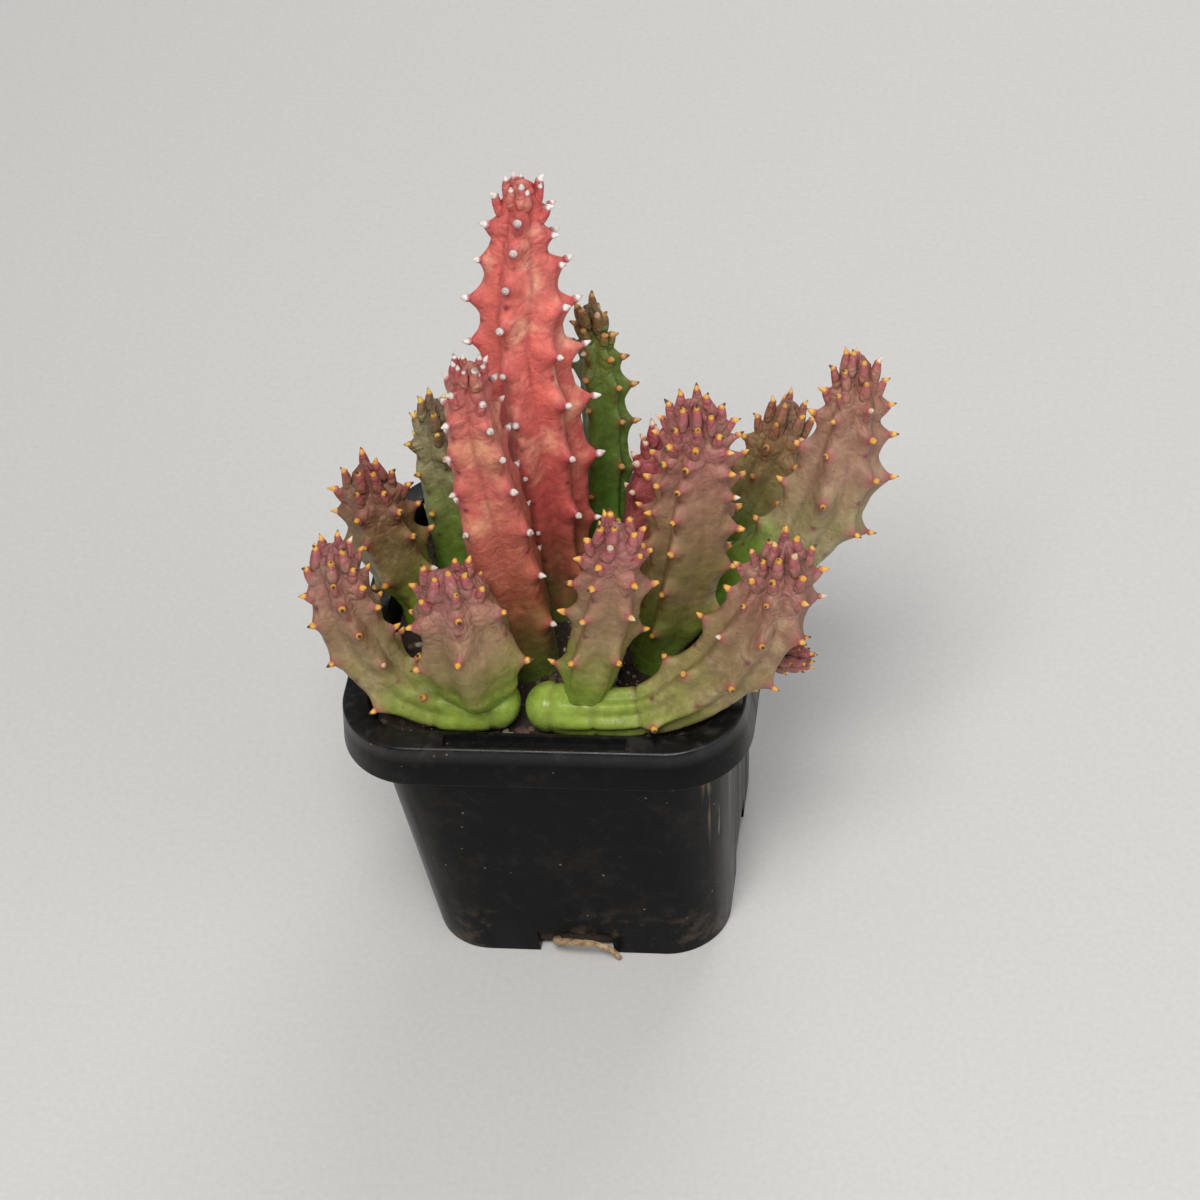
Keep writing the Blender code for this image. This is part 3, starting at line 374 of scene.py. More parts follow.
class Graph:
    """A short way to write a material's nodes."""

    def __init__(self, name):
        self.material = bpy.data.materials.new(name)
        self.material.use_nodes = True
        self.tree = self.material.node_tree
        self.shader = self.tree.nodes["Principled BSDF"]

    def add(self, kind, links=None, **settings):
        node = self.tree.nodes.new("ShaderNode" + kind)
        for key, value in settings.items():
            setattr(node, key, value)
        for key, value in (links or {}).items():
            self.feed(node.inputs[key], value)
        return node

    def feed(self, socket, value):
        if isinstance(value, bpy.types.NodeSocket):
            self.tree.links.new(value, socket)
        elif isinstance(value, (tuple, list)) and len(value) == 3 and socket.type == "RGBA":
            socket.default_value = (*value, 1.0)
        else:
            socket.default_value = value

    def attribute(self, name):
        return self.add("Attribute", attribute_name=name).outputs["Fac"]

    def math(self, operation, a, b=0.0, clamp=False):
        node = self.add("Math", {0: a, 1: b}, operation=operation, use_clamp=clamp)
        return node.outputs[0]

    def ranged(self, value, low, high, to_low=0.0, to_high=1.0):
        node = self.add("MapRange", {"Value": value, "From Min": low, "From Max": high,
                                     "To Min": to_low, "To Max": to_high})
        return node.outputs[0]

    def noise(self, scale, detail=3.0, rough=0.5, distortion=0.0, stretch=None, offset=0.0):
        where = self.add("TexCoord").outputs["Object"]
        if stretch or offset:
            where = self.add("Mapping", {"Vector": where, "Scale": stretch or (1, 1, 1),
                                         "Location": (offset, offset, offset)}).outputs[0]
        node = self.add("TexNoise", {"Vector": where, "Scale": scale, "Detail": detail,
                                     "Roughness": rough, "Distortion": distortion})
        return node.outputs["Fac"]

    def voronoi(self, scale, output="Distance", feature="F1"):
        where = self.add("TexCoord").outputs["Object"]
        node = self.add("TexVoronoi", {"Vector": where, "Scale": scale}, feature=feature)
        return node.outputs[output]

    def net(self, scale, wander):
        """Distance from the lines of an irregular net."""
        where = self.add("TexCoord").outputs["Object"]
        drift = self.add("TexNoise", {"Vector": where, "Scale": scale, "Detail": 2.0})
        drift = self.add("VectorMath", {0: drift.outputs["Color"], 1: (0.5, 0.5, 0.5)},
                         operation="SUBTRACT").outputs[0]
        drift = self.add("VectorMath", {0: drift, "Scale": wander},
                         operation="SCALE").outputs[0]
        spot = self.add("VectorMath", {0: where, 1: drift}, operation="ADD").outputs[0]
        return self.add("TexVoronoi", {"Vector": spot, "Scale": scale},
                        feature="DISTANCE_TO_EDGE").outputs["Distance"]

    def tone(self, colour, shade):
        """A colour made darker or lighter by a value near 1."""
        grey = self.add("CombineColor", {0: shade, 1: shade, 2: shade}).outputs[0]
        return self.mix(1.0, colour, grey, "MULTIPLY")

    def ramp(self, value, stops, mode="LINEAR"):
        node = self.add("ValToRGB", {"Fac": value})
        node.color_ramp.interpolation = mode
        elements = node.color_ramp.elements
        while len(elements) < len(stops):
            elements.new(0.5)
        for element, (place, colour) in zip(elements, stops):
            element.position = place
            element.color = (*colour, 1.0)
        return node.outputs["Color"]

    def mix(self, factor, a, b, blend="MIX"):
        node = self.add("Mix", data_type="RGBA", blend_type=blend)
        self.feed(node.inputs[0], factor)
        self.feed(node.inputs[6], a)
        self.feed(node.inputs[7], b)
        return node.outputs[2]

    def bump(self, height, strength, distance, normal=None):
        node = self.add("Bump", {"Height": height, "Strength": strength, "Distance": distance})
        if normal is not None:
            self.feed(node.inputs["Normal"], normal)
        return node.outputs["Normal"]

    def finish(self, **inputs):
        for key, value in inputs.items():
            self.feed(self.shader.inputs[key.replace("_", " ")], value)
        return self.material


def skin_material(name, look):
    graph = Graph(f"skin_{name}")
    along = graph.attribute("along")
    crest = graph.attribute("crest")
    tooth = graph.attribute("tooth")
    crease = graph.attribute("crease")
    young = graph.attribute("young")
    large = graph.noise(140, 3, 0.55)
    medium = graph.noise(330, 4, 0.6, offset=7.7)
    small = graph.noise(750, 4, 0.62, offset=3.1)
    fine = graph.noise(2600, 3, 0.6)
    net = graph.net(430, 0.0016)
    fine_net = graph.net(1150, 0.0005)

    # Skin from foot to tip, blotched and mottled
    wander = graph.math("MULTIPLY", graph.math("SUBTRACT", large, 0.5), 0.30)
    place = graph.math("ADD", along, wander)
    colour = graph.ramp(place, look["skin"])
    patch = graph.math("MULTIPLY", graph.ranged(large, 0.5, 0.64), graph.ranged(along, 0.2, 0.5))
    patch = graph.math("MULTIPLY", patch, look["mottle"])
    patch = graph.math("MULTIPLY", patch, graph.ranged(medium, 0.36, 0.56, 0.25, 1.0))
    colour = graph.mix(patch, colour, look["blotch"])
    colour = graph.tone(colour, graph.ranged(medium, 0.3, 0.7, 0.80, 1.18))
    colour = graph.tone(colour, graph.ranged(small, 0.3, 0.7, 0.86, 1.12))

    # Painted shade in the grooves, the creases and a net of fine wrinkles
    groove = graph.math("MULTIPLY", graph.ranged(crest, 0.0, 0.22, 1.0, 0.0),
                        graph.ranged(medium, 0.40, 0.62, 0.15, 1.0))
    groove = graph.math("MULTIPLY", groove, graph.ranged(along, 0.25, 0.6, 0.0, look["furrow_shade_and_fold"]))
    colour = graph.mix(groove, colour, look["line"])
    # The crease marks darkened: painted shade in the creases and between the crown's fingers, and a
    # darker ring at each pinch
    line = graph.math("MULTIPLY", crease, graph.ranged(medium, 0.38, 0.6, 0.15, 0.75))
    colour = graph.mix(line, colour, look["line"])
    # Painted shade in the lines of the wrinkle net, whose strength also sets the folds' bump
    folded = graph.ranged(young, 0.0, 0.8, look["furrow_shade_and_fold"] * 0.35, 0.85)
    wrinkle_shade = graph.math("MULTIPLY", graph.ranged(net, 0.0, 0.075, 1.0, 0.0), folded)
    wrinkle_shade = graph.math("MULTIPLY", wrinkle_shade, graph.ranged(medium, 0.46, 0.60))
    wrinkle_shade = graph.math("MULTIPLY", wrinkle_shade, graph.ranged(along, 0.2, 0.4, 0.0, 0.6))
    colour = graph.mix(wrinkle_shade, colour, look["line"])

    # Reddish skin round the teeth, a dark mark above each, specks and dust
    tint = graph.math("MULTIPLY", graph.ranged(tooth, 0.2, 0.7), 0.62)
    colour = graph.mix(tint, colour, look["tooth"])
    mark = graph.math("MULTIPLY", graph.attribute("dot"), graph.ranged(small, 0.3, 0.5, 0.5, 1.0))
    mark = graph.math("MULTIPLY", mark, graph.ranged(medium, 0.40, 0.56))
    colour = graph.mix(mark, colour, tuple(c * 0.45 for c in look["tooth"]))
    point = graph.math("MULTIPLY", graph.ranged(tooth, 0.72, 0.95), 0.8)
    colour = graph.mix(point, colour, look["spine"])
    speck = graph.math("MULTIPLY", graph.ranged(graph.voronoi(420), 0.10, 0.05), 0.55)
    colour = graph.mix(speck, colour, look["line"])
    dust = graph.math("MULTIPLY", graph.ranged(small, 0.54, 0.72), graph.ranged(large, 0.42, 0.6))
    dust = graph.math("MULTIPLY", dust, graph.ranged(along, 0.15, 0.5, 0.05, 0.30))
    colour = graph.mix(dust, colour, (0.50, 0.42, 0.34))

    rough = graph.ranged(along, 0.12, 0.5, 0.24, 0.50)
    rough = graph.math("ADD", rough, graph.ranged(small, 0.3, 0.7, -0.06, 0.10))
    normal = graph.bump(fine, 0.30, 0.00012)
    normal = graph.bump(graph.ranged(fine_net, 0.0, 0.18), graph.ranged(along, 0.15, 0.5, 0.0, 0.16),
                        0.0002, normal)
    normal = graph.bump(small, 0.35, 0.0004, normal)
    fold = graph.math("MULTIPLY", graph.ranged(net, 0.0, 0.22), folded)
    normal = graph.bump(fold, graph.ranged(along, 0.15, 0.45, 0.0, 0.42), 0.0006, normal)
    return graph.finish(Base_Color=colour, Roughness=rough, Normal=normal,
                        Subsurface_Weight=0.12, Subsurface_Radius=(1.0, 0.45, 0.25),
                        Subsurface_Scale=0.0015, Specular_IOR_Level=0.45, IOR=1.42)


def spine_material(name, look):
    graph = Graph(f"spine_{name}")
    tip = graph.attribute("tip")
    dry = graph.attribute("dry")
    small = graph.noise(1800, 3, 0.6)
    dark = graph.ranged(graph.math("ADD", tip, graph.math("MULTIPLY", dry, 0.55)), 0.86, 1.12)
    colour = graph.mix(graph.ranged(tip, 0.0, 0.22, 0.75, 0.0), look["spine"], look["tooth"])
    bleached = graph.math("MULTIPLY", graph.ranged(dry, 0.10, 0.04), graph.ranged(tip, 0.1, 0.4))
    colour = graph.mix(bleached, colour, (0.80, 0.72, 0.62))
    colour = graph.mix(dark, colour, look["spine_tip"])
    colour = graph.tone(colour, graph.ranged(small, 0.3, 0.7, 0.72, 1.15))
    normal = graph.bump(small, 0.5, 0.0002)
    return graph.finish(Base_Color=colour, Roughness=0.42, Normal=normal,
                        Subsurface_Weight=0.15, Subsurface_Radius=(1.0, 0.6, 0.3),
                        Subsurface_Scale=0.0008)


# Stems

def smooth_route(points, steps=ROUTE_STEPS):
    """Points evenly spaced by length along a smooth curve through the given ones."""
    points = [Vector(p) for p in points]
    ends = [2 * points[0] - points[1]] + points + [2 * points[-1] - points[-2]]
    dense = []
    for a, b, c, d in zip(ends, ends[1:], ends[2:], ends[3:]):
        for step in range(SPAN_STEPS):
            t = step / SPAN_STEPS
            dense.append(0.5 * (2 * b + (c - a) * t + (2 * a - 5 * b + 4 * c - d) * t ** 2
                                + (3 * b - a - 3 * c + d) * t ** 3))
    dense.append(points[-1])
    lengths = [0.0]
    for a, b in zip(dense, dense[1:]):
        lengths.append(lengths[-1] + (b - a).length)
    total = lengths[-1]
    even = []
    index = 0
    for step in range(steps + 1):
        want = total * step / steps
        while index < len(dense) - 2 and lengths[index + 1] < want:
            index += 1
        span = lengths[index + 1] - lengths[index]
        even.append(dense[index].lerp(dense[index + 1], (want - lengths[index]) / span))
    return even, total


def route_frames(points):
    """Arrays of a middle, a direction and two side directions, carried along without twist."""
    rows = []
    side = None
    for index, point in enumerate(points):
        ahead = points[min(index + 1, len(points) - 1)]
        behind = points[max(index - 1, 0)]
        along = (ahead - behind).normalized()
        if side is None:
            side = Vector((1, 0, 0)) if abs(along.x) < 0.8 else Vector((0, 0, 1))
        side = (side - along * side.dot(along)).normalized()
        rows.append((point, along, side, along.cross(side)))
    return np.array([[list(v) for v in row] for row in rows])


def frames_at(frames, shares):
    place = shares * (len(frames) - 1)
    index = np.minimum(place.astype(int), len(frames) - 2)
    mix = (place - index)[:, None, None]
    rows = frames[index] * (1 - mix) + frames[index + 1] * mix
    for part in (1, 2, 3):
        rows[:, part] /= np.linalg.norm(rows[:, part], axis=1, keepdims=True)
    return rows[:, 0], rows[:, 1], rows[:, 2], rows[:, 3]


def girth_at(girth, shares):
    radii = np.full(shares.shape, float(girth[-1][1]))
    for (a, radius_a), (b, radius_b) in reversed(list(zip(girth, girth[1:]))):
        inside = shares <= b
        radii[inside] = radius_a + (radius_b - radius_a) * ease((shares[inside] - a) / (b - a))
    return radii


def turn_at(turn, from_tip):
    return np.interp(from_tip, [row[0] for row in turn], [row[1] for row in turn])


def tooth_count(stem, from_tip):
    return np.log(1 + stem["growth"] * from_tip / stem["spacing"]) / stem["growth"]


def place_of_tooth(stem, count):
    return stem["spacing"] / stem["growth"] * (np.exp(stem["growth"] * count) - 1)


class Line:
    """A stem's middle line and how thick it is along that."""

    def __init__(self, stem):
        self.stem = stem
        route = list(stem["route"])
        self.peg = 0.0
        if stem["start"] == "peg":
            self.peg = PEG_DEPTH
            x, y, z = route[0]
            route.insert(0, (x, y, z - self.peg))
        points, self.total = smooth_route(route)
        self.frames = route_frames(points)

    def radius(self, places):
        places = np.asarray(places, float)
        stem = self.stem
        shares = np.maximum(places - self.peg, 0) / (self.total - self.peg)
        radii = girth_at(stem["girth"], shares)
        tip = stem["girth"][-1][1]
        start = stem["girth"][0][1]
        from_tip = np.clip((self.total - places) / tip, 0, 1)
        radii = radii * np.sqrt(1 - (1 - from_tip) ** 2)
        if stem["start"] == "lying":
            radii = radii * np.sqrt(1 - (1 - np.clip(places / start, 0, 1)) ** 2)
        return radii

    def toothed(self, places):
        return ease((np.asarray(places) - self.peg) / self.stem["smooth_foot"] - TOOTH_START)

    def ribbed(self, places):
        return ease((np.asarray(places) - self.peg - 1) / self.stem["smooth_foot"])

    def rib_angles(self, places):
        """The angle of each rib, a column for each, at these distances from the foot."""
        from_tip = self.total - np.asarray(places)
        return np.radians(np.stack([turn_at(turn, from_tip) for _, turn in self.stem["ribs"]],
                                   axis=-1))

    def last_ring(self):
        length = self.total - self.peg - self.stem["smooth_foot"]
        return int(tooth_count(self.stem, length) * RINGS_PER_TOOTH)


def neighbours_of(node):
    """Points on the middles of all stems that are not part of a node, with their radii."""
    middles, radii = [], []
    for name, stem in (STEMS | BRANCHES).items():
        if stem.get("parent", name) == node:
            continue
        line = Line(stem)
        middles.append(line.frames[:, 0])
        radii.append(line.radius(np.linspace(0, line.total, len(line.frames))))
    return np.concatenate(middles), np.concatenate(radii)


def room_for(point, way, neighbours):
    """How high a tooth may stand here: half way to the next stem, and above the pot's rim."""
    middles, radii = neighbours
    room = (np.min(np.linalg.norm(middles - point, axis=1) - radii) - NEIGHBOUR_GAP) / 2
    if way[2] < 0:
        room = min(room, (point[2] - POT_HEIGHT - NEIGHBOUR_GAP) / -way[2])
    return max(room, 0.0)


def lay_teeth(line, seed, neighbours):
    """Each tooth's foot, direction and height, by its ring and rib, drawn as the solid's are."""
    draw = random.Random(seed)
    stem = line.stem
    teeth = {}
    for ring in range(line.last_ring(), 0, -1):
        from_tip = place_of_tooth(stem, ring / RINGS_PER_TOOTH)
        place = line.total - from_tip
        middle, along, side, across = [v[0] for v in frames_at(line.frames,
                                                               np.array([place / line.total]))]
        lean = math.radians(SIDE_LEAN + CROWN_LEAN * ease(1 - from_tip / CROWN_LENGTH))
        for rib, (row, _) in enumerate(stem["ribs"]):
            share = 1 - TOOTH_SPREAD / 2 + TOOTH_SPREAD * draw.random()
            if (ring - row) % RINGS_PER_TOOTH:
                continue
            angle = line.rib_angles(place)[rib]
            outward = side * math.cos(angle) + across * math.sin(angle)
            way = outward * math.cos(lean) + along * math.sin(lean)
            foot = middle + outward * line.radius(place)
            height = min(stem["tooth"], CROWN_TOOTH + TOOTH_GAIN * from_tip) * share
            height = min(height, room_for(foot, way, neighbours)) * float(line.toothed(place))
            teeth[ring, rib] = dict(foot=foot, way=way, along=along, outward=outward,
                                    height=height, from_tip=from_tip, place=place,
                                    root=finger_root(line, place, rib))
    return teeth


def finger_root(line, place, rib):
    """Where a finger of the crown leaves the stem's middle parts, below its tooth."""
    low = max(place - FINGER_LENGTH, line.peg)
    middle, _, side, across = [v[0] for v in frames_at(line.frames,
                                                       np.array([low / line.total]))]
    angle = line.rib_angles(low)[rib]
    outward = side * math.cos(angle) + across * math.sin(angle)
    return middle + outward * (float(line.radius(low)) - FINGER_SUNK)


def ring_places(line):
    """Distances from the foot at which the fine rings stand."""
    stem = line.stem
    toothed = []
    for k in range(line.last_ring(), 0, -1):
        here = place_of_tooth(stem, k / RINGS_PER_TOOTH)
        after = place_of_tooth(stem, (k - 1) / RINGS_PER_TOOTH)
        steps = max(2, math.ceil((here - after) / RING_STEP))
        counts = [(k - step / steps) / RINGS_PER_TOOTH for step in range(steps)]
        toothed += [line.total - place_of_tooth(stem, count) for count in counts]
    top = toothed[0]
    plain = list(np.arange(0, line.peg, PEG_STEP)) if line.peg else []
    start = line.peg
    if stem["start"] == "lying":
        start = stem["girth"][0][1]
        plain = [start * (1 - math.cos(math.pi / 2 * k / 14)) for k in range(1, 14)]
    steps = max(1, round((top - start) / SMOOTH_STEP))
    plain += [start + (top - start) * k / steps for k in range(steps)]
    return np.array(plain + toothed)


class Build:
    """Points, faces and per-point values gathered for one mesh."""

    def __init__(self, *names):
        self.points = []
        self.faces = []
        self.materials = []
        self.values = {name: [] for name in names}
        self.count = 0

    def add(self, points, faces, material=0, **values):
        points = np.asarray(points, float).reshape(-1, 3)
        self.points.append(points)
        self.faces += [tuple(i + self.count for i in face) for face in faces]
        self.materials += (material if isinstance(material, list) else [material] * len(faces))
        for name, gathered in self.values.items():
            value = np.asarray(values.get(name, 0.0), float).ravel()
            gathered.append(np.broadcast_to(value, (len(points),)))
        self.count += len(points)

    def object(self, name, materials):
        mesh = bpy.data.meshes.new(name)
        points = np.concatenate(self.points) * MM
        mesh.from_pydata(points.tolist(), [], self.faces)
        for key, gathered in self.values.items():
            layer = mesh.attributes.new(key, "FLOAT", "POINT")
            layer.data.foreach_set("value", np.concatenate(gathered).astype(np.float32))
        for material in materials:
            mesh.materials.append(material)
        mesh.polygons.foreach_set("material_index", self.materials)
        mesh.shade_smooth()
        mesh.update()
        item = bpy.data.objects.new(name, mesh)
        bpy.context.scene.collection.objects.link(item)
        return item


def tube_faces(rows, columns):
    faces = []
    for row in range(rows - 1):
        for col in range(columns):
            nxt = (col + 1) % columns
            a, b = row * columns + col, row * columns + nxt
            faces.append((a, b, b + columns, a + columns))
    return faces


def noise_field(points, scale, offset=0.0):
    return np.array([noise.noise(Vector(p) * scale + Vector((offset, offset, offset)))
                     for p in points])


def grow_stem(build, stem, seed, slots, neighbours):
    """Add one stem's skin and teeth to a mesh."""
    line = Line(stem)
    teeth = lay_teeth(line, seed, neighbours)
    places = ring_places(line)
    from_tip = np.maximum(line.total - places, 1e-4)
    middle, along, side, across = frames_at(line.frames, places / line.total)
    radius = line.radius(places)
    pinched = np.zeros(len(places))
    for pinch in stem.get("pinches", []):
        pinched += np.exp(-((places - pinch) / 0.55) ** 2)
    radius = radius * (1 - 0.07 * pinched)
    ribbed = line.ribbed(places)[:, None]
    toothed = line.toothed(places)[:, None]
    crown = ease(1 - from_tip / CROWN_LENGTH)[:, None]
    young = 1 - ease((from_tip - 3) / 16)[:, None]
    counts = tooth_count(stem, from_tip)[:, None]
    step = (stem["spacing"] + stem["growth"] * from_tip)[:, None]

    # Where each column stands across its rib: -1 and 1 in the grooves, 0 on the crest
    ribs = len(stem["ribs"])
    half = np.linspace(-1, 1, COLUMNS_PER_RIB, endpoint=False)
    half = np.sign(half) * np.abs(half) ** CREST_CROWDING
    rib = np.repeat(np.arange(ribs), COLUMNS_PER_RIB)[None, :]
    off = np.tile(half, ribs)[None, :]
    row_of = np.array([row for row, _ in stem["ribs"]]) / RINGS_PER_TOOTH
    phase = row_of[rib]

    # Grooves swerve round the teeth on either side of them
    beat = np.cos(2 * np.pi * (counts - phase))
    other = (rib + np.where(off < 0, -1, 1)) % ribs
    other_beat = np.cos(2 * np.pi * (counts - row_of[other]))
    swerve = 0.10 * young * (beat - other_beat) * np.sign(off) * np.abs(off) ** 2
    crests = line.rib_angles(places)
    after = np.concatenate([crests[:, 1:], crests[:, :1] + 2 * np.pi], axis=1) - crests
    before = np.roll(after, 1, axis=1)
    span = np.where(off < 0, before[:, rib[0]], after[:, rib[0]]) / 2
    angle = crests[:, rib[0]] + span * (off + swerve)
    outward = (side[:, None, :] * np.cos(angle)[..., None]
               + across[:, None, :] * np.sin(angle)[..., None])

    # The nearest tooth of the same rib, and how far off it is
    last = line.last_ring() / RINGS_PER_TOOTH
    lowest = np.where(phase == 0, 1, 0)
    nearest = np.round(counts - phase)
    nearest = np.clip(nearest, lowest, np.floor(last - phase + 1e-6))
    gap = counts - phase - nearest
    numbers = np.round((nearest + phase) * RINGS_PER_TOOTH).astype(int)
    which = np.broadcast_to(rib, numbers.shape)
    table = np.zeros((line.last_ring() + 2, ribs))
    for (ring, row), tooth in teeth.items():
        table[ring, row] = tooth["height"]
    height = table[np.clip(numbers, 0, len(table) - 1), which]
    away = np.abs(place_of_tooth(stem, nearest + phase) - from_tip[:, None])
    sideways = np.abs(off) * span * radius[:, None]

    # Broad feet of the teeth
    reach = np.minimum(step * 0.5, WIDEST_TOOTH)
    breadth = np.minimum(span * radius[:, None] * 0.85, WIDEST_TOOTH * 0.7)
    distance = np.sqrt((away / reach) ** 2 + (sideways / np.maximum(breadth, 0.2)) ** 2)
    broad = ease((from_tip - 2) / FINGER_REACH)[:, None]
    bump = np.clip(1 - distance, 0, 1) ** 2.1
    rise = np.maximum(height - SPINE_LENGTH * 0.8, 0.35 * height)
    push = rise * bump * (0.25 + 0.75 * broad)

    # Creases between the teeth of a rib, grooves between ribs, and soft swelling within
    bowed = gap + 0.12 * off ** 2 * np.sign(0.5 - np.abs(gap))
    edge = (0.5 - np.abs((bowed + 0.5) % 1 - 0.5)) * step
    crease = np.exp(-(edge / CREASE_WIDTH) ** 2) * (1 - np.abs(off) ** 6) * toothed
    crease = crease * (0.35 + 0.65 * young)
    ditch = np.exp(-((1 - np.abs(off)) / 0.10) ** 2) * ribbed
    swell = np.cos(np.pi * np.clip(bowed, -0.5, 0.5)) ** 2 * (1 - off ** 2) * toothed
    soft = (1 - np.cos(np.pi * off)) / 2
    sharp = np.abs(off) ** SHARP_GROOVE_POWER
    keen = np.clip(0.25 + 0.75 * young, 0, 1)
    depth = (stem["groove"] + CROWN_GROOVE * crown) * ribbed
    size = radius[:, None] * (1 - depth * (soft * (1 - keen) + sharp * keen))
    size = size * (1 + 0.055 * swell * (0.35 + 0.65 * young))
    fingers = 1 - ease((from_tip - 2) / FINGER_REACH)[:, None]
    size = size - np.minimum(DOME_SUNK, 0.3 * size) * fingers
    flat = (middle[:, None, :] + outward * size[..., None]).reshape(-1, 3)
    lumps = noise_field(flat, 0.16, seed * 3.7).reshape(size.shape)
    dents = noise_field(flat, 0.5, seed * 1.3).reshape(size.shape)
    crease = crease * np.clip(0.75 + 1.6 * dents, 0, 1.4)
    size = size - CREASE_DEPTH * crease - 0.12 * ditch * young
    size = size + (0.25 * lumps + (0.12 + 0.14 * young) * dents) * toothed
    size = np.maximum(size, 0.05)
    lean = np.radians(SIDE_LEAN + CROWN_LEAN * crown)
    surface = (middle[:, None, :] + outward * (size + push * np.cos(lean))[..., None]
               + along[:, None, :] * (push * np.sin(lean))[..., None])

    rows, columns = size.shape
    faces = tube_faces(rows, columns)
    first, final = rows * columns, rows * columns + 1
    faces += [((c + 1) % columns, c, first) for c in range(columns)]
    base = (rows - 1) * columns
    faces += [(base + c, base + (c + 1) % columns, final) for c in range(columns)]
    hubs = [line.frames[0, 0] if stem["start"] == "lying" else middle[0], line.frames[-1, 0]]
    visible = np.clip((places - line.peg) / (line.total - line.peg), 0, 1)

    def shown(values, ends):
        return np.append(np.broadcast_to(values, size.shape).ravel(), ends)

    dot = np.exp(-(edge / 0.65) ** 2 - (sideways / 0.6) ** 2) * toothed
    # Where the skin is darkened through the crease attribute: painted shade in the creases between
    # teeth and on the sunk dome between the crown's fingers, and a darker ring at each pinch
    lines = np.maximum(crease, 0.6 * pinched[:, None] * (0.6 + 0.4 * np.abs(off)))
    lines = np.maximum(lines, 0.8 * ease((fingers - 0.3) / 0.6))
    build.add(np.concatenate([surface.reshape(-1, 3), np.array(hubs)]), faces, slots[0],
              along=shown(visible[:, None], [0, 1]), crest=shown(1 - np.abs(off), [1, 1]),
              tooth=shown(bump * np.minimum(height / 1.5, 1), [0, 0]),
              crease=shown(lines, [0, 0]), dot=shown(dot, [0, 0]),
              young=shown(young, [0, 1]), tip=0.0, dry=0.0)

    draw = random.Random(seed + 500)
    for tooth in list(teeth.values()) + tuft_of(line, seed):
        grow_tooth(build, line, tooth, draw, slots, LOOKS[stem["look"]])


def tuft_of(line, seed):
    """Small extra fingers round the tip of a stem whose teeth stand far apart."""
    draw = random.Random(seed + 900)
    count = line.stem.get("tuft", 0)
    fingers = []
    for index in range(count):
        place = line.total - TUFT_DEPTH * (0.6 + 0.8 * draw.random())
        middle, along, side, across = [v[0] for v in frames_at(line.frames,
                                                               np.array([place / line.total]))]
        angle = 2 * math.pi * (index + 0.6 * draw.random()) / count
        outward = side * math.cos(angle) + across * math.sin(angle)
        lean = math.radians(TUFT_LEAN * (0.6 + 0.8 * draw.random()))
        radius = float(line.radius(place)) - 0.4
        height = TUFT_HEIGHT * (0.7 + 0.5 * draw.random())
        foot = middle + outward * radius
        fingers.append(dict(foot=foot, way=along * math.cos(lean) + outward * math.sin(lean),
                            along=along, outward=outward, height=height, from_tip=1.0,
                            place=place, root=foot - along * FINGER_LENGTH - outward * 0.5))
    return fingers


def tube(points, radii, side):
    """Rings of points round a bent line, with the last point of the line as its end."""
    rings = []
    for index, (centre, radius) in enumerate(zip(points[:-1], radii)):
        along = points[index + 1] - points[max(index - 1, 0)]
        across = np.cross(along, side)
        across /= np.linalg.norm(across) + 1e-9
        level = np.cross(across, along)
        level /= np.linalg.norm(level) + 1e-9
        for k in range(TOOTH_SIDES):
            turn = 2 * math.pi * k / TOOTH_SIDES
            rings.append(centre + (level * math.cos(turn) + across * math.sin(turn)) * radius)
    rows = len(points) - 1
    faces = tube_faces(rows, TOOTH_SIDES)
    last = (rows - 1) * TOOTH_SIDES
    faces += [(last + k, last + (k + 1) % TOOTH_SIDES, rows * TOOTH_SIDES)
              for k in range(TOOTH_SIDES)]
    faces.append(tuple(range(TOOTH_SIDES))[::-1])
    return np.array(rings + [points[-1]]), faces


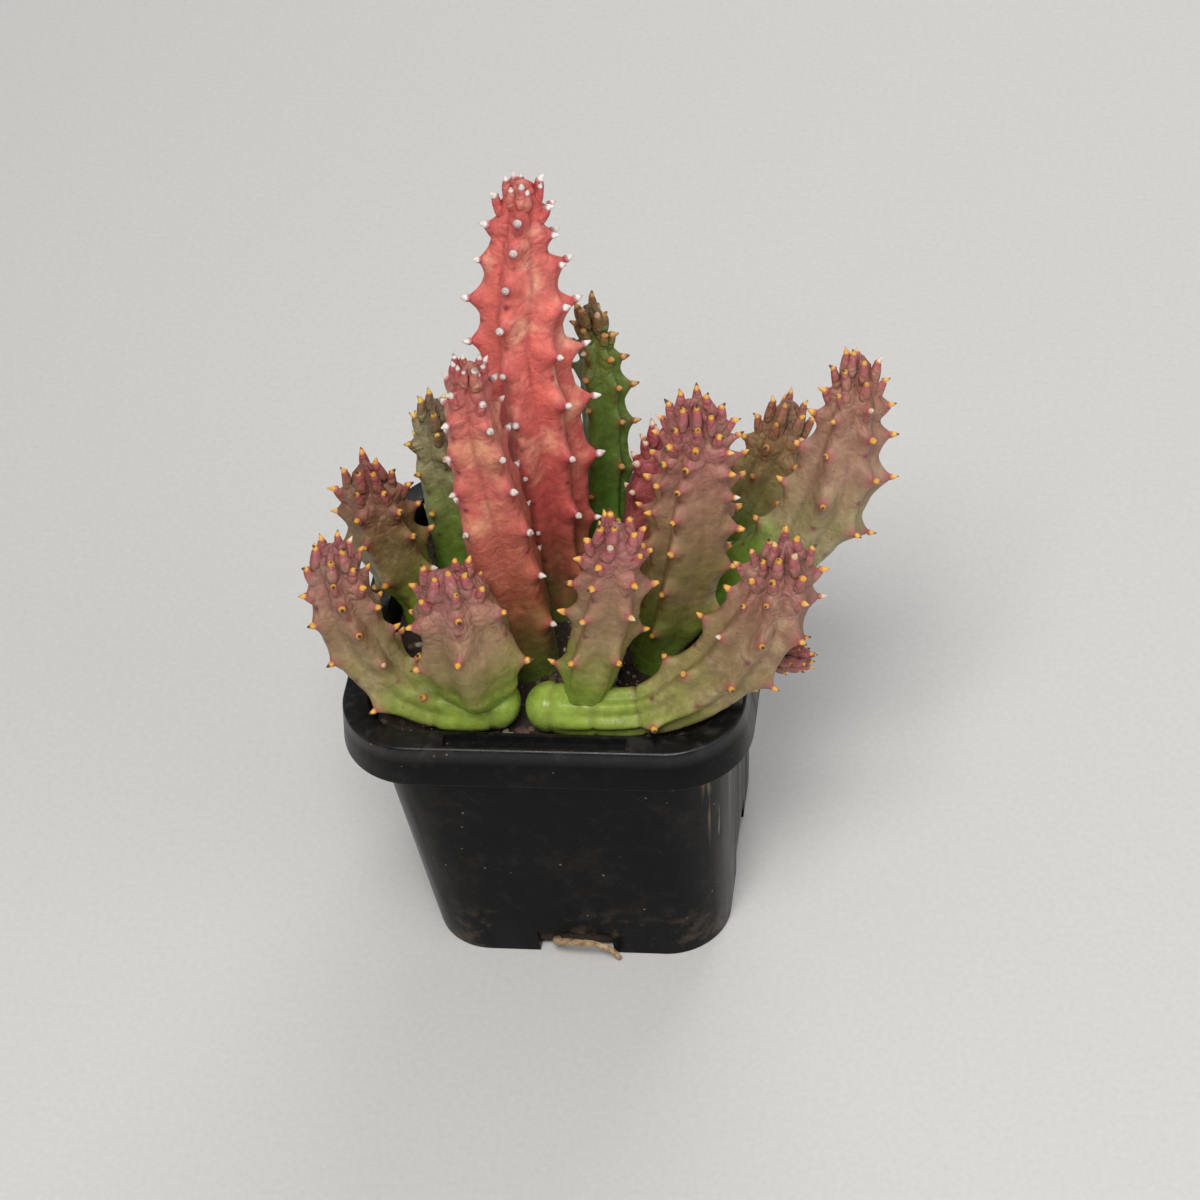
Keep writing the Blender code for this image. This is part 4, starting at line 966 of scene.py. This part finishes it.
def grow_tooth(build, line, tooth, draw, slots, look):
    """A tooth's coloured point, on its broad foot or, in the crown, on a finger of skin."""
    dry, bend, sway, long = draw.random(), draw.random(), draw.random(), draw.random()
    height = tooth["height"]
    if height < LEAST_TOOTH:
        return
    broad = float(ease((tooth["from_tip"] - 2) / FINGER_REACH))
    out = tooth["way"]
    side = np.cross(out, tooth["along"])
    side /= np.linalg.norm(side) + 1e-9
    up = np.cross(side, out)
    scale = min(1.0, height / 2.2) * (0.85 + 0.3 * long)
    blunt = look["blunt"] * (0.6 + 0.7 * dry)
    spine = min(SPINE_LENGTH * scale * (1 - 0.25 * blunt), 0.7 * height)
    thick = SPINE_RADIUS * scale * (1 + 0.45 * blunt)
    bend = 0.16 * (bend - 0.3) * height
    sway = 0.18 * (sway - 0.5) * height
    tip = tooth["foot"] + out * height + up * bend + side * sway
    joint = tooth["foot"] + out * (height - spine) + (up * bend + side * sway) * 0.35
    along = (tooth["place"] - line.peg) / (line.total - line.peg)

    # The coloured point, a cone that starts a little inside the skin
    shares = np.linspace(0, 1, TOOTH_RINGS)
    start = joint - out * 0.35 * scale
    points = [start + (joint - start) * min(share * 4, 1)
              + (tip - joint) * max(share * 4 - 1, 0) / 3 for share in shares]
    length = np.clip((shares * 4 - 1) / 3, 0, 1)
    power = 0.85 - 0.45 * blunt
    radii = thick * (1 - length) ** power
    points, faces = tube(points, radii, side)
    tips = np.append(np.repeat(length[:-1], TOOTH_SIDES), 1.0)
    build.add(points, faces, slots[1], along=along, crest=1.0, tooth=1.0, crease=0.0,
              dot=0.0, young=1 - broad, tip=tips, dry=dry)
    if broad > 0.95:
        return

    # The finger that carries it, its foot painted darker as shade where it meets the dome and the
    # other fingers
    bulge = tooth["foot"] + tooth["outward"] * 0.25 - tooth["along"] * 0.4 * FINGER_LENGTH
    root = tooth["root"] - tooth["outward"] * 0.9 * broad
    shares = np.linspace(0, 1, FINGER_RINGS)
    points = [root * (1 - t) ** 2 + bulge * 2 * t * (1 - t) + (joint + out * 0.1) * t * t
              for t in shares]
    shape = np.interp(shares, [row[0] for row in FINGER_SHAPE], [row[1] for row in FINGER_SHAPE])
    size = FINGER_RADIUS * (0.9 + 0.25 * long) * (1 - 0.25 * broad) * min(1.0, height / 1.6)
    points, faces = tube(points, np.maximum(shape * size, thick * 1.02 * shares), side)
    rows = np.append(np.repeat(shares[:-1], TOOTH_SIDES), 1.0)
    build.add(points, faces, slots[0], along=along - 0.08 * (1 - rows), crest=1.0,
              tooth=0.68 * ease(rows), crease=0.8 * (1 - ease(rows / 0.45)), dot=0.0,
              young=1.0, tip=0.0, dry=dry)


def outward_faces(item):
    """Turn every shell's faces outwards."""
    work = bmesh.new()
    work.from_mesh(item.data)
    bmesh.ops.recalc_face_normals(work, faces=work.faces)
    work.to_mesh(item.data)
    work.free()


def build_stems():
    looks = {name: (skin_material(name, look), spine_material(name, look))
             for name, look in LOOKS.items()}
    branch_seeds = {name: seed for seed, name in enumerate(BRANCHES, start=100)}
    for seed, (node, stem) in enumerate(STEMS.items()):
        build = Build("along", "crest", "tooth", "crease", "dot", "young", "tip", "dry")
        neighbours = neighbours_of(node)
        materials = list(looks[stem["look"]])
        grow_stem(build, stem, seed, (0, 1), neighbours)
        for name, branch in BRANCHES.items():
            if branch["parent"] == node:
                slots = (len(materials), len(materials) + 1)
                materials += list(looks[branch["look"]])
                grow_stem(build, branch, branch_seeds[name], slots, neighbours)
        item = build.object("skin_" + node[5:], materials)
        outward_faces(item)
        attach(item, BODY)
        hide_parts(node)


# Pot

def rounded_square(half, corner, height):
    points = []
    for quarter in range(4):
        turn = quarter * math.pi / 2
        sign_x = 1 if quarter in (0, 3) else -1
        sign_y = 1 if quarter in (0, 1) else -1
        for step in range(CORNER_STEPS + 1):
            angle = turn + step * math.pi / 2 / CORNER_STEPS
            points.append((sign_x * (half - corner) + corner * math.cos(angle),
                           sign_y * (half - corner) + corner * math.sin(angle), height))
        start = Vector(points[-1])
        next_x = 1 if (quarter + 1) % 4 in (0, 3) else -1
        next_y = 1 if (quarter + 1) % 4 in (0, 1) else -1
        angle = turn + math.pi / 2
        end = Vector((next_x * (half - corner) + corner * math.cos(angle),
                      next_y * (half - corner) + corner * math.sin(angle), height))
        points += [tuple(start.lerp(end, step / SIDE_STEPS)) for step in range(1, SIDE_STEPS)]
    return points


def wall_at(height):
    """Half width and corner radius of the outside of the tapered body at a height."""
    share = height / (POT_HEIGHT - LEDGE_THICK)
    return (BODY_FOOT_HALF + (BODY_TOP_HALF - BODY_FOOT_HALF) * share,
            BODY_FOOT_CORNER + (BODY_TOP_CORNER - BODY_FOOT_CORNER) * share)


def inside_at(height):
    """The same for the pot's inside: one straight slope from the floor to the mouth."""
    half, corner = wall_at(FLOOR_THICK)
    share = (height - FLOOR_THICK) / (POT_HEIGHT - 0.5 - FLOOR_THICK)
    half, corner = half - WALL, corner - WALL
    return (half + (RIM_HALF - LEDGE_WIDTH - half) * share,
            corner + (RIM_CORNER - LEDGE_WIDTH - corner) * share)


def arc(half, corner, height, radius, start, end, steps=5):
    """Profile points round an edge: the angles turn from outwards (0) to up (90 degrees)."""
    rows = []
    for step in range(steps + 1):
        angle = math.radians(start + (end - start) * step / steps)
        grow = radius * math.cos(angle)
        rows.append((half + grow, corner + grow, height + radius * math.sin(angle)))
    return rows


def simple_object(name, points, faces):
    mesh = bpy.data.meshes.new(name)
    mesh.from_pydata([Vector(p) * MM for p in points], [], faces)
    item = bpy.data.objects.new(name, mesh)
    bpy.context.scene.collection.objects.link(item)
    outward_faces(item)
    return item


def loft(name, rings):
    count = len(rings[0])
    points = [p for ring in rings for p in ring]
    faces = tube_faces(len(rings), count)
    for row in (0, len(rings) - 1):
        faces.append(tuple(range(row * count, row * count + count)))
    return simple_object(name, points, faces)


def box(name, low, high):
    corners = [(x, y, z) for z in (low[2], high[2]) for y in (low[1], high[1])
               for x in (low[0], high[0])]
    faces = [(0, 2, 3, 1), (4, 5, 7, 6), (0, 1, 5, 4), (2, 6, 7, 3), (0, 4, 6, 2), (1, 3, 7, 5)]
    return simple_object(name, corners, faces)


def disc(name, x, y, radius, low, high, sides=40):
    rings = [[(x + radius * math.cos(2 * math.pi * k / sides),
               y + radius * math.sin(2 * math.pi * k / sides), z) for k in range(sides)]
             for z in (low, high)]
    return loft(name, rings)


def cut(target, cutters):
    group = bpy.data.collections.new(target.name + "_cuts")
    bpy.context.scene.collection.children.link(group)
    for cutter in cutters:
        group.objects.link(cutter)
    modifier = target.modifiers.new("cut", "BOOLEAN")
    modifier.operation = "DIFFERENCE"
    modifier.solver = "EXACT"
    modifier.operand_type = "COLLECTION"
    modifier.collection = group
    with bpy.context.temp_override(object=target):
        bpy.ops.object.modifier_apply(modifier=modifier.name)
    for cutter in cutters:
        bpy.data.objects.remove(cutter, do_unlink=True)
    bpy.data.collections.remove(group)


def build_pot():
    top = POT_HEIGHT
    under = POT_HEIGHT - LEDGE_THICK
    foot = POT_HEIGHT - SKIRT_HEIGHT
    flared = RIM_HALF + SKIRT_FLARE
    flared_corner = RIM_CORNER + SKIRT_FLARE
    mouth = RIM_HALF - LEDGE_WIDTH
    mouth_corner = RIM_CORNER - LEDGE_WIDTH
    small = SMALL_ROUND
    half, corner = wall_at(0)
    profile = arc(half - small, corner - small, small, small, -90, 0, 4)
    for height in (15, 30, 45, under):
        profile.append((*wall_at(height), height))
    profile.append((RIM_HALF - WALL, RIM_CORNER - WALL, under))
    profile.append((flared - WALL, flared_corner - WALL, foot + small))
    profile += arc(flared - WALL + small, flared_corner - WALL + small, foot + small, small,
                   180, 270, 3)
    profile += arc(flared - small, flared_corner - small, foot + small, small, -90, 0, 3)
    edge = EDGE_ROUND
    profile += arc(RIM_HALF - edge, RIM_CORNER - edge, top - edge, edge, 0, 90, 6)
    profile += arc(mouth + small, mouth_corner + small, top - small, small, 90, 180, 4)
    for height in (45, 25, FLOOR_THICK):
        profile.append((*inside_at(height), height))
    pot = loft("pot_shell", [rounded_square(*row) for row in profile])

    reach = BODY_FOOT_HALF + 10
    inner = BODY_FOOT_HALF - NOTCH_DEPTH
    half = NOTCH_WIDTH / 2
    cutters = [
        box("notch_front", (-half, -reach, -2), (half, -inner, NOTCH_HEIGHT)),
        box("notch_back", (-half, inner, -2), (half, reach, NOTCH_HEIGHT)),
        box("notch_left", (-reach, -half, -2), (-inner, half, NOTCH_HEIGHT)),
        box("notch_right", (inner, -half, -2), (reach, half, NOTCH_HEIGHT)),
    ]
    for x in (-DRAIN_OFFSET, DRAIN_OFFSET):
        for y in (-DRAIN_OFFSET, DRAIN_OFFSET):
            cutters.append(disc("drain", x, y, DRAIN_RADIUS, -1, FLOOR_THICK + 1))
    middle = -(RIM_HALF + mouth) / 2
    cutters.append(box("recess",
                       (-RECESS_LENGTH / 2, middle - RECESS_WIDTH / 2, top - RECESS_DEPTH),
                       (RECESS_LENGTH / 2, middle + RECESS_WIDTH / 2, top + 2)))
    cut(pot, cutters)
    pot.data.shade_smooth()
    pot.data.set_sharp_from_angle(angle=math.radians(38))
    pot.data.materials.clear()
    pot.data.materials.append(pot_material())
    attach(pot, BODY)
    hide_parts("pot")


def pot_material():
    graph = Graph("black_plastic")
    position = graph.add("TexCoord").outputs["Object"]
    parts = graph.add("SeparateXYZ", {0: position}).outputs
    large = graph.noise(60, 4, 0.6)
    medium = graph.noise(330, 5, 0.65)
    fine = graph.noise(1500, 4, 0.65)
    scratch = graph.noise(240, 3, 0.6, stretch=(1.0, 1.0, 0.06))
    low = graph.ranged(parts[2], 0.0, 0.014, 1.0, 0.0)
    ledge = graph.ranged(parts[2], 0.0596, 0.0612)
    dust = graph.math("MULTIPLY", graph.ranged(medium, 0.52, 0.72),
                      graph.math("ADD", graph.math("MULTIPLY", ledge, 0.14), 0.03))
    smear = graph.math("MULTIPLY", graph.ranged(graph.math("MULTIPLY", large, medium), 0.26, 0.40),
                       graph.math("ADD", graph.math("MULTIPLY", low, 0.5), 0.05))
    # A thin tan streak painted on the right side of the body towards the front, below the skirt
    right = graph.math("MULTIPLY", graph.ranged(parts[0], 0.0262, 0.0285),
                       graph.ranged(parts[1], -0.010, -0.020))
    right = graph.math("MULTIPLY", right, graph.ranged(parts[2], 0.053, 0.050))
    streak = graph.math("MULTIPLY", right, graph.ranged(scratch, 0.55, 0.62))
    streak = graph.math("MULTIPLY", streak, graph.ranged(large, 0.40, 0.50))
    speck = graph.math("MULTIPLY", graph.ranged(graph.voronoi(330), 0.085, 0.05), 0.6)
    speck = graph.math("MULTIPLY", speck, graph.ranged(large, 0.48, 0.60))
    colour = graph.mix(graph.ranged(large, 0.3, 0.7), (0.0022, 0.0022, 0.0028),
                       (0.0040, 0.0040, 0.0048))
    colour = graph.mix(dust, colour, (0.13, 0.12, 0.11))
    colour = graph.mix(smear, colour, (0.20, 0.14, 0.085))
    colour = graph.mix(streak, colour, (0.42, 0.30, 0.19))
    colour = graph.mix(speck, colour, (0.36, 0.31, 0.25))
    rough = graph.ranged(graph.math("ADD", scratch, graph.math("MULTIPLY", dust, 2.0)),
                         0.35, 0.85, 0.26, 0.55)
    normal = graph.bump(fine, 0.25, 0.00012)
    normal = graph.bump(scratch, 0.15, 0.0002, normal)
    return graph.finish(Base_Color=colour, Roughness=rough, Normal=normal,
                        Specular_IOR_Level=graph.ranged(parts[2], 0.0585, 0.0605, 0.10, 0.42))


# Soil

def build_soil():
    floor = FLOOR_THICK + 0.3
    wide, corner = inside_at(floor)
    rings = [rounded_square(wide - SOIL_GAP, corner - SOIL_GAP, floor)]
    for height in (2.5, 4, 6, 20, 40):
        wide, corner = inside_at(height)
        rings.append(rounded_square(wide - SOIL_GAP, corner - SOIL_GAP, height))
    wide, corner = inside_at(SOIL_TOP)
    edge = rounded_square(wide - SOIL_GAP, corner - SOIL_GAP, SOIL_TOP)
    for ring in range(SOIL_RINGS):
        share = 1 - ring / SOIL_RINGS
        rings.append([(x * share, y * share, SOIL_TOP) for x, y, _ in edge])
    count = len(rings[0])
    points = np.array([p for ring in rings for p in ring], float)
    top = points[:, 2] >= SOIL_TOP - 0.01
    relief = (noise_field(points[top], 0.18) * 0.55 + noise_field(points[top], 0.6, 9) * 0.45
              + noise_field(points[top], 1.9, 4) * 0.30)
    points[top, 2] += relief - 0.35
    faces = tube_faces(len(rings), count)
    faces.append(tuple(range(count)))
    faces.append(tuple(range((len(rings) - 1) * count, len(rings) * count)))
    build = Build("shade")
    build.add(points, faces, 0, shade=0.5)
    add_grains(build)
    item = build.object("soil_mix", [soil_material(), grain_material()])
    outward_faces(item)
    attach(item, BODY)
    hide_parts("soil")


def lump_points(size, draw, squash=0.75, level=1):
    """A small irregular stone's points and faces about the origin."""
    work = bmesh.new()
    bmesh.ops.create_icosphere(work, subdivisions=level, radius=1.0)
    stretch = Vector((0.75 + 0.5 * draw.random(), 0.75 + 0.5 * draw.random(),
                      squash * (0.8 + 0.4 * draw.random())))
    shift = Vector((draw.random(), draw.random(), draw.random())) * 50
    turn = Matrix.Rotation(draw.random() * math.pi * 2, 3,
                           Vector((draw.random() - 0.5, draw.random() - 0.5, 1)).normalized())
    points = []
    for vert in work.verts:
        bulge = 1 + 0.28 * noise.noise(vert.co * 1.3 + shift)
        spot = vert.co * bulge
        points.append(turn @ Vector((spot.x * stretch.x, spot.y * stretch.y, spot.z * stretch.z))
                      * size)
    faces = [tuple(v.index for v in face.verts) for face in work.faces]
    work.free()
    return np.array([list(p) for p in points]), faces


def add_grains(build):
    """Grit scattered over the soil: many small grains and some larger ones."""
    draw = random.Random(21)
    half, corner = inside_at(SOIL_TOP)
    for _ in range(GRAINS):
        x = (draw.random() * 2 - 1) * (half - 0.5)
        y = (draw.random() * 2 - 1) * (half - 0.5)
        size = 0.16 + 0.75 * draw.random() ** 4
        bent_x = max(abs(x) - (half - corner), 0)
        bent_y = max(abs(y) - (half - corner), 0)
        if math.hypot(bent_x, bent_y) > corner - size - 0.3:
            continue
        points, faces = lump_points(size, draw, level=2 if size > 0.5 else 1)
        spot = Vector((x, y, SOIL_TOP))
        level = (noise.noise(spot * 0.18) * 0.55 + noise.noise(spot * 0.6 + Vector((9, 9, 9))) * 0.45)
        place = np.array([x, y, SOIL_TOP + level - 0.35 + size * 0.25])
        build.add(points + place, faces, 1, shade=draw.random())


def soil_material():
    graph = Graph("potting_mix")
    large = graph.noise(160, 4, 0.6)
    small = graph.noise(1100, 5, 0.7)
    cell = graph.voronoi(900)
    colour = graph.ramp(small, [(0.25, (0.010, 0.006, 0.004)), (0.5, (0.035, 0.021, 0.013)),
                                (0.72, (0.085, 0.055, 0.034)), (0.9, (0.20, 0.15, 0.105))])
    colour = graph.mix(graph.ranged(large, 0.4, 0.65), colour, (0.05, 0.031, 0.02))
    normal = graph.bump(cell, 0.7, 0.0006)
    normal = graph.bump(small, 0.8, 0.0006, normal)
    return graph.finish(Base_Color=colour, Roughness=0.93, Normal=normal)


def grain_material():
    graph = Graph("grit")
    shade = graph.attribute("shade")
    small = graph.noise(1700, 4, 0.65)
    colour = graph.ramp(shade, [(0.0, (0.028, 0.018, 0.012)), (0.30, (0.055, 0.034, 0.022)),
                                (0.55, (0.10, 0.06, 0.04)), (0.72, (0.16, 0.115, 0.08)),
                                (0.86, (0.24, 0.19, 0.145)), (0.95, (0.42, 0.37, 0.31))])
    colour = graph.mix(graph.ranged(small, 0.45, 0.75, 0.0, 0.5), colour, (0.05, 0.035, 0.025))
    normal = graph.bump(small, 0.6, 0.0002)
    return graph.finish(Base_Color=colour, Roughness=0.85, Normal=normal)


# Stones and root

def stone_material(name, colour):
    graph = Graph(name + "_rock")
    small = graph.noise(1300, 5, 0.65)
    large = graph.noise(420, 3, 0.5)
    dark = tuple(c * 0.5 for c in colour)
    pale = tuple(min(c * 1.5 + 0.04, 1) for c in colour)
    mixed = graph.ramp(large, [(0.3, dark), (0.55, colour), (0.78, pale)])
    mixed = graph.mix(graph.ranged(small, 0.55, 0.75, 0, 0.6), mixed, dark)
    normal = graph.bump(small, 0.5, 0.0003)
    return graph.finish(Base_Color=mixed, Roughness=0.8, Normal=normal)


def build_stones():
    for seed, (name, ((x, y), radius, height, colour)) in enumerate(STONES.items(), start=40):
        draw = random.Random(seed)
        points, faces = lump_points(1.0, draw, squash=0.9, level=4)
        points -= (points.max(0) + points.min(0)) / 2
        points *= np.array([radius, radius, height / 2]) / (np.ptp(points, axis=0) / 2)
        points[:, 2] += SOIL_TOP + 0.1 + height / 2
        build = Build()
        build.add(points + np.array([x, y, 0]), faces)
        item = build.object("rock_" + name[6:], [stone_material(name, colour)])
        outward_faces(item)
        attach(item, BODY)
        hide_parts(name)


def build_root():
    points, _ = smooth_route(ROOT_ROUTE, steps=70)
    frames = route_frames(points)
    sides = 20
    rings = []
    for index, (middle, _, side, across) in enumerate(frames):
        taper = 1 - 0.3 * index / len(points)
        ring = []
        for k in range(sides):
            turn = 2 * math.pi * k / sides
            out = side * math.cos(turn) + across * math.sin(turn)
            rough = 1 + 0.22 * noise.noise(Vector(middle + out) * 1.1)
            rough += 0.06 * math.cos(5 * turn + index * 0.3)
            ring.append(middle + out * ROOT_RADIUS * taper * rough * 0.95)
        rings.append(ring)
    flat = np.array(rings).reshape(-1, 3)
    flat[:, 2] = np.maximum(flat[:, 2], 0.02)
    faces = tube_faces(len(rings), sides)
    faces.append(tuple(range(sides)))
    faces.append(tuple(range((len(rings) - 1) * sides, len(rings) * sides)))
    build = Build()
    build.add(flat, faces)
    item = build.object("dry_root", [root_material()])
    outward_faces(item)
    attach(item, BODY)
    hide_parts("root")


def root_material():
    graph = Graph("dry_root_bark")
    small = graph.noise(900, 5, 0.7)
    colour = graph.ramp(small, [(0.3, (0.16, 0.09, 0.045)), (0.5, (0.40, 0.26, 0.14)),
                                (0.75, (0.66, 0.50, 0.33))])
    normal = graph.bump(small, 0.8, 0.0004)
    return graph.finish(Base_Color=colour, Roughness=0.85, Normal=normal)


# Studio

def build_camera():
    azimuth = math.radians(CAMERA_AZIMUTH)
    elevation = math.radians(CAMERA_ELEVATION)
    back = Vector((math.sin(azimuth) * math.cos(elevation),
                   -math.cos(azimuth) * math.cos(elevation), math.sin(elevation)))
    place = (Vector(CAMERA_TARGET) + back * CAMERA_DISTANCE) * MM
    turn = back.to_track_quat("Z", "Y").to_matrix().to_4x4()
    roll = Matrix.Rotation(math.radians(CAMERA_ROLL), 4, "Z")
    data = bpy.data.cameras.new("camera")
    data.sensor_width = SENSOR_MM
    data.lens = FOCAL_PIXELS / PHOTO_SIZE * SENSOR_MM
    data.clip_start = 0.01
    data.clip_end = 20
    camera = bpy.data.objects.new("camera", data)
    camera.matrix_world = Matrix.Translation(place) @ turn @ roll
    bpy.context.scene.collection.objects.link(camera)
    bpy.context.scene.camera = camera


def area_light(name, place, size, power, colour, target=(0, 0, 0.07)):
    data = bpy.data.lights.new(name, "AREA")
    data.shape = "SQUARE"
    data.size = size
    data.energy = power
    data.color = colour
    light = bpy.data.objects.new(name, data)
    back = (Vector(place) - Vector(target)).normalized()
    light.matrix_world = (Matrix.Translation(place)
                          @ back.to_track_quat("Z", "Y").to_matrix().to_4x4())
    bpy.context.scene.collection.objects.link(light)


def build_studio():
    world = bpy.data.worlds.new("soft_world")
    world.use_nodes = True
    shader = world.node_tree.nodes["Background"]
    shader.inputs["Color"].default_value = (0.90, 0.93, 1.0, 1.0)
    shader.inputs["Strength"].default_value = 0.24
    bpy.context.scene.world = world
    area_light("key", (0.02, -0.52, 0.92), 0.40, 7.6, (1.0, 0.98, 0.95))
    area_light("fill", (0.75, -0.35, 0.45), 0.6, 1.6, (0.95, 0.97, 1.0))
    area_light("rim", (0.15, 0.75, 0.60), 0.5, 3.0, (1.0, 0.98, 0.95))
    floor = simple_object("floor", [(-3000, -3000, 0), (3000, -3000, 0), (3000, 3000, 0),
                                    (-3000, 3000, 0)], [(0, 1, 2, 3)])
    floor.data.materials.append(floor_material())


def floor_material():
    graph = Graph("pale_floor")
    fine = graph.noise(900, 3, 0.5)
    colour = graph.mix(graph.ranged(fine, 0.3, 0.7), (0.63, 0.62, 0.60), (0.67, 0.66, 0.64))
    return graph.finish(Base_Color=colour, Roughness=0.75)


bpy.context.scene.view_settings.view_transform = "Standard"
build_camera()
build_studio()
build_pot()
build_soil()
build_stems()
build_stones()
build_root()
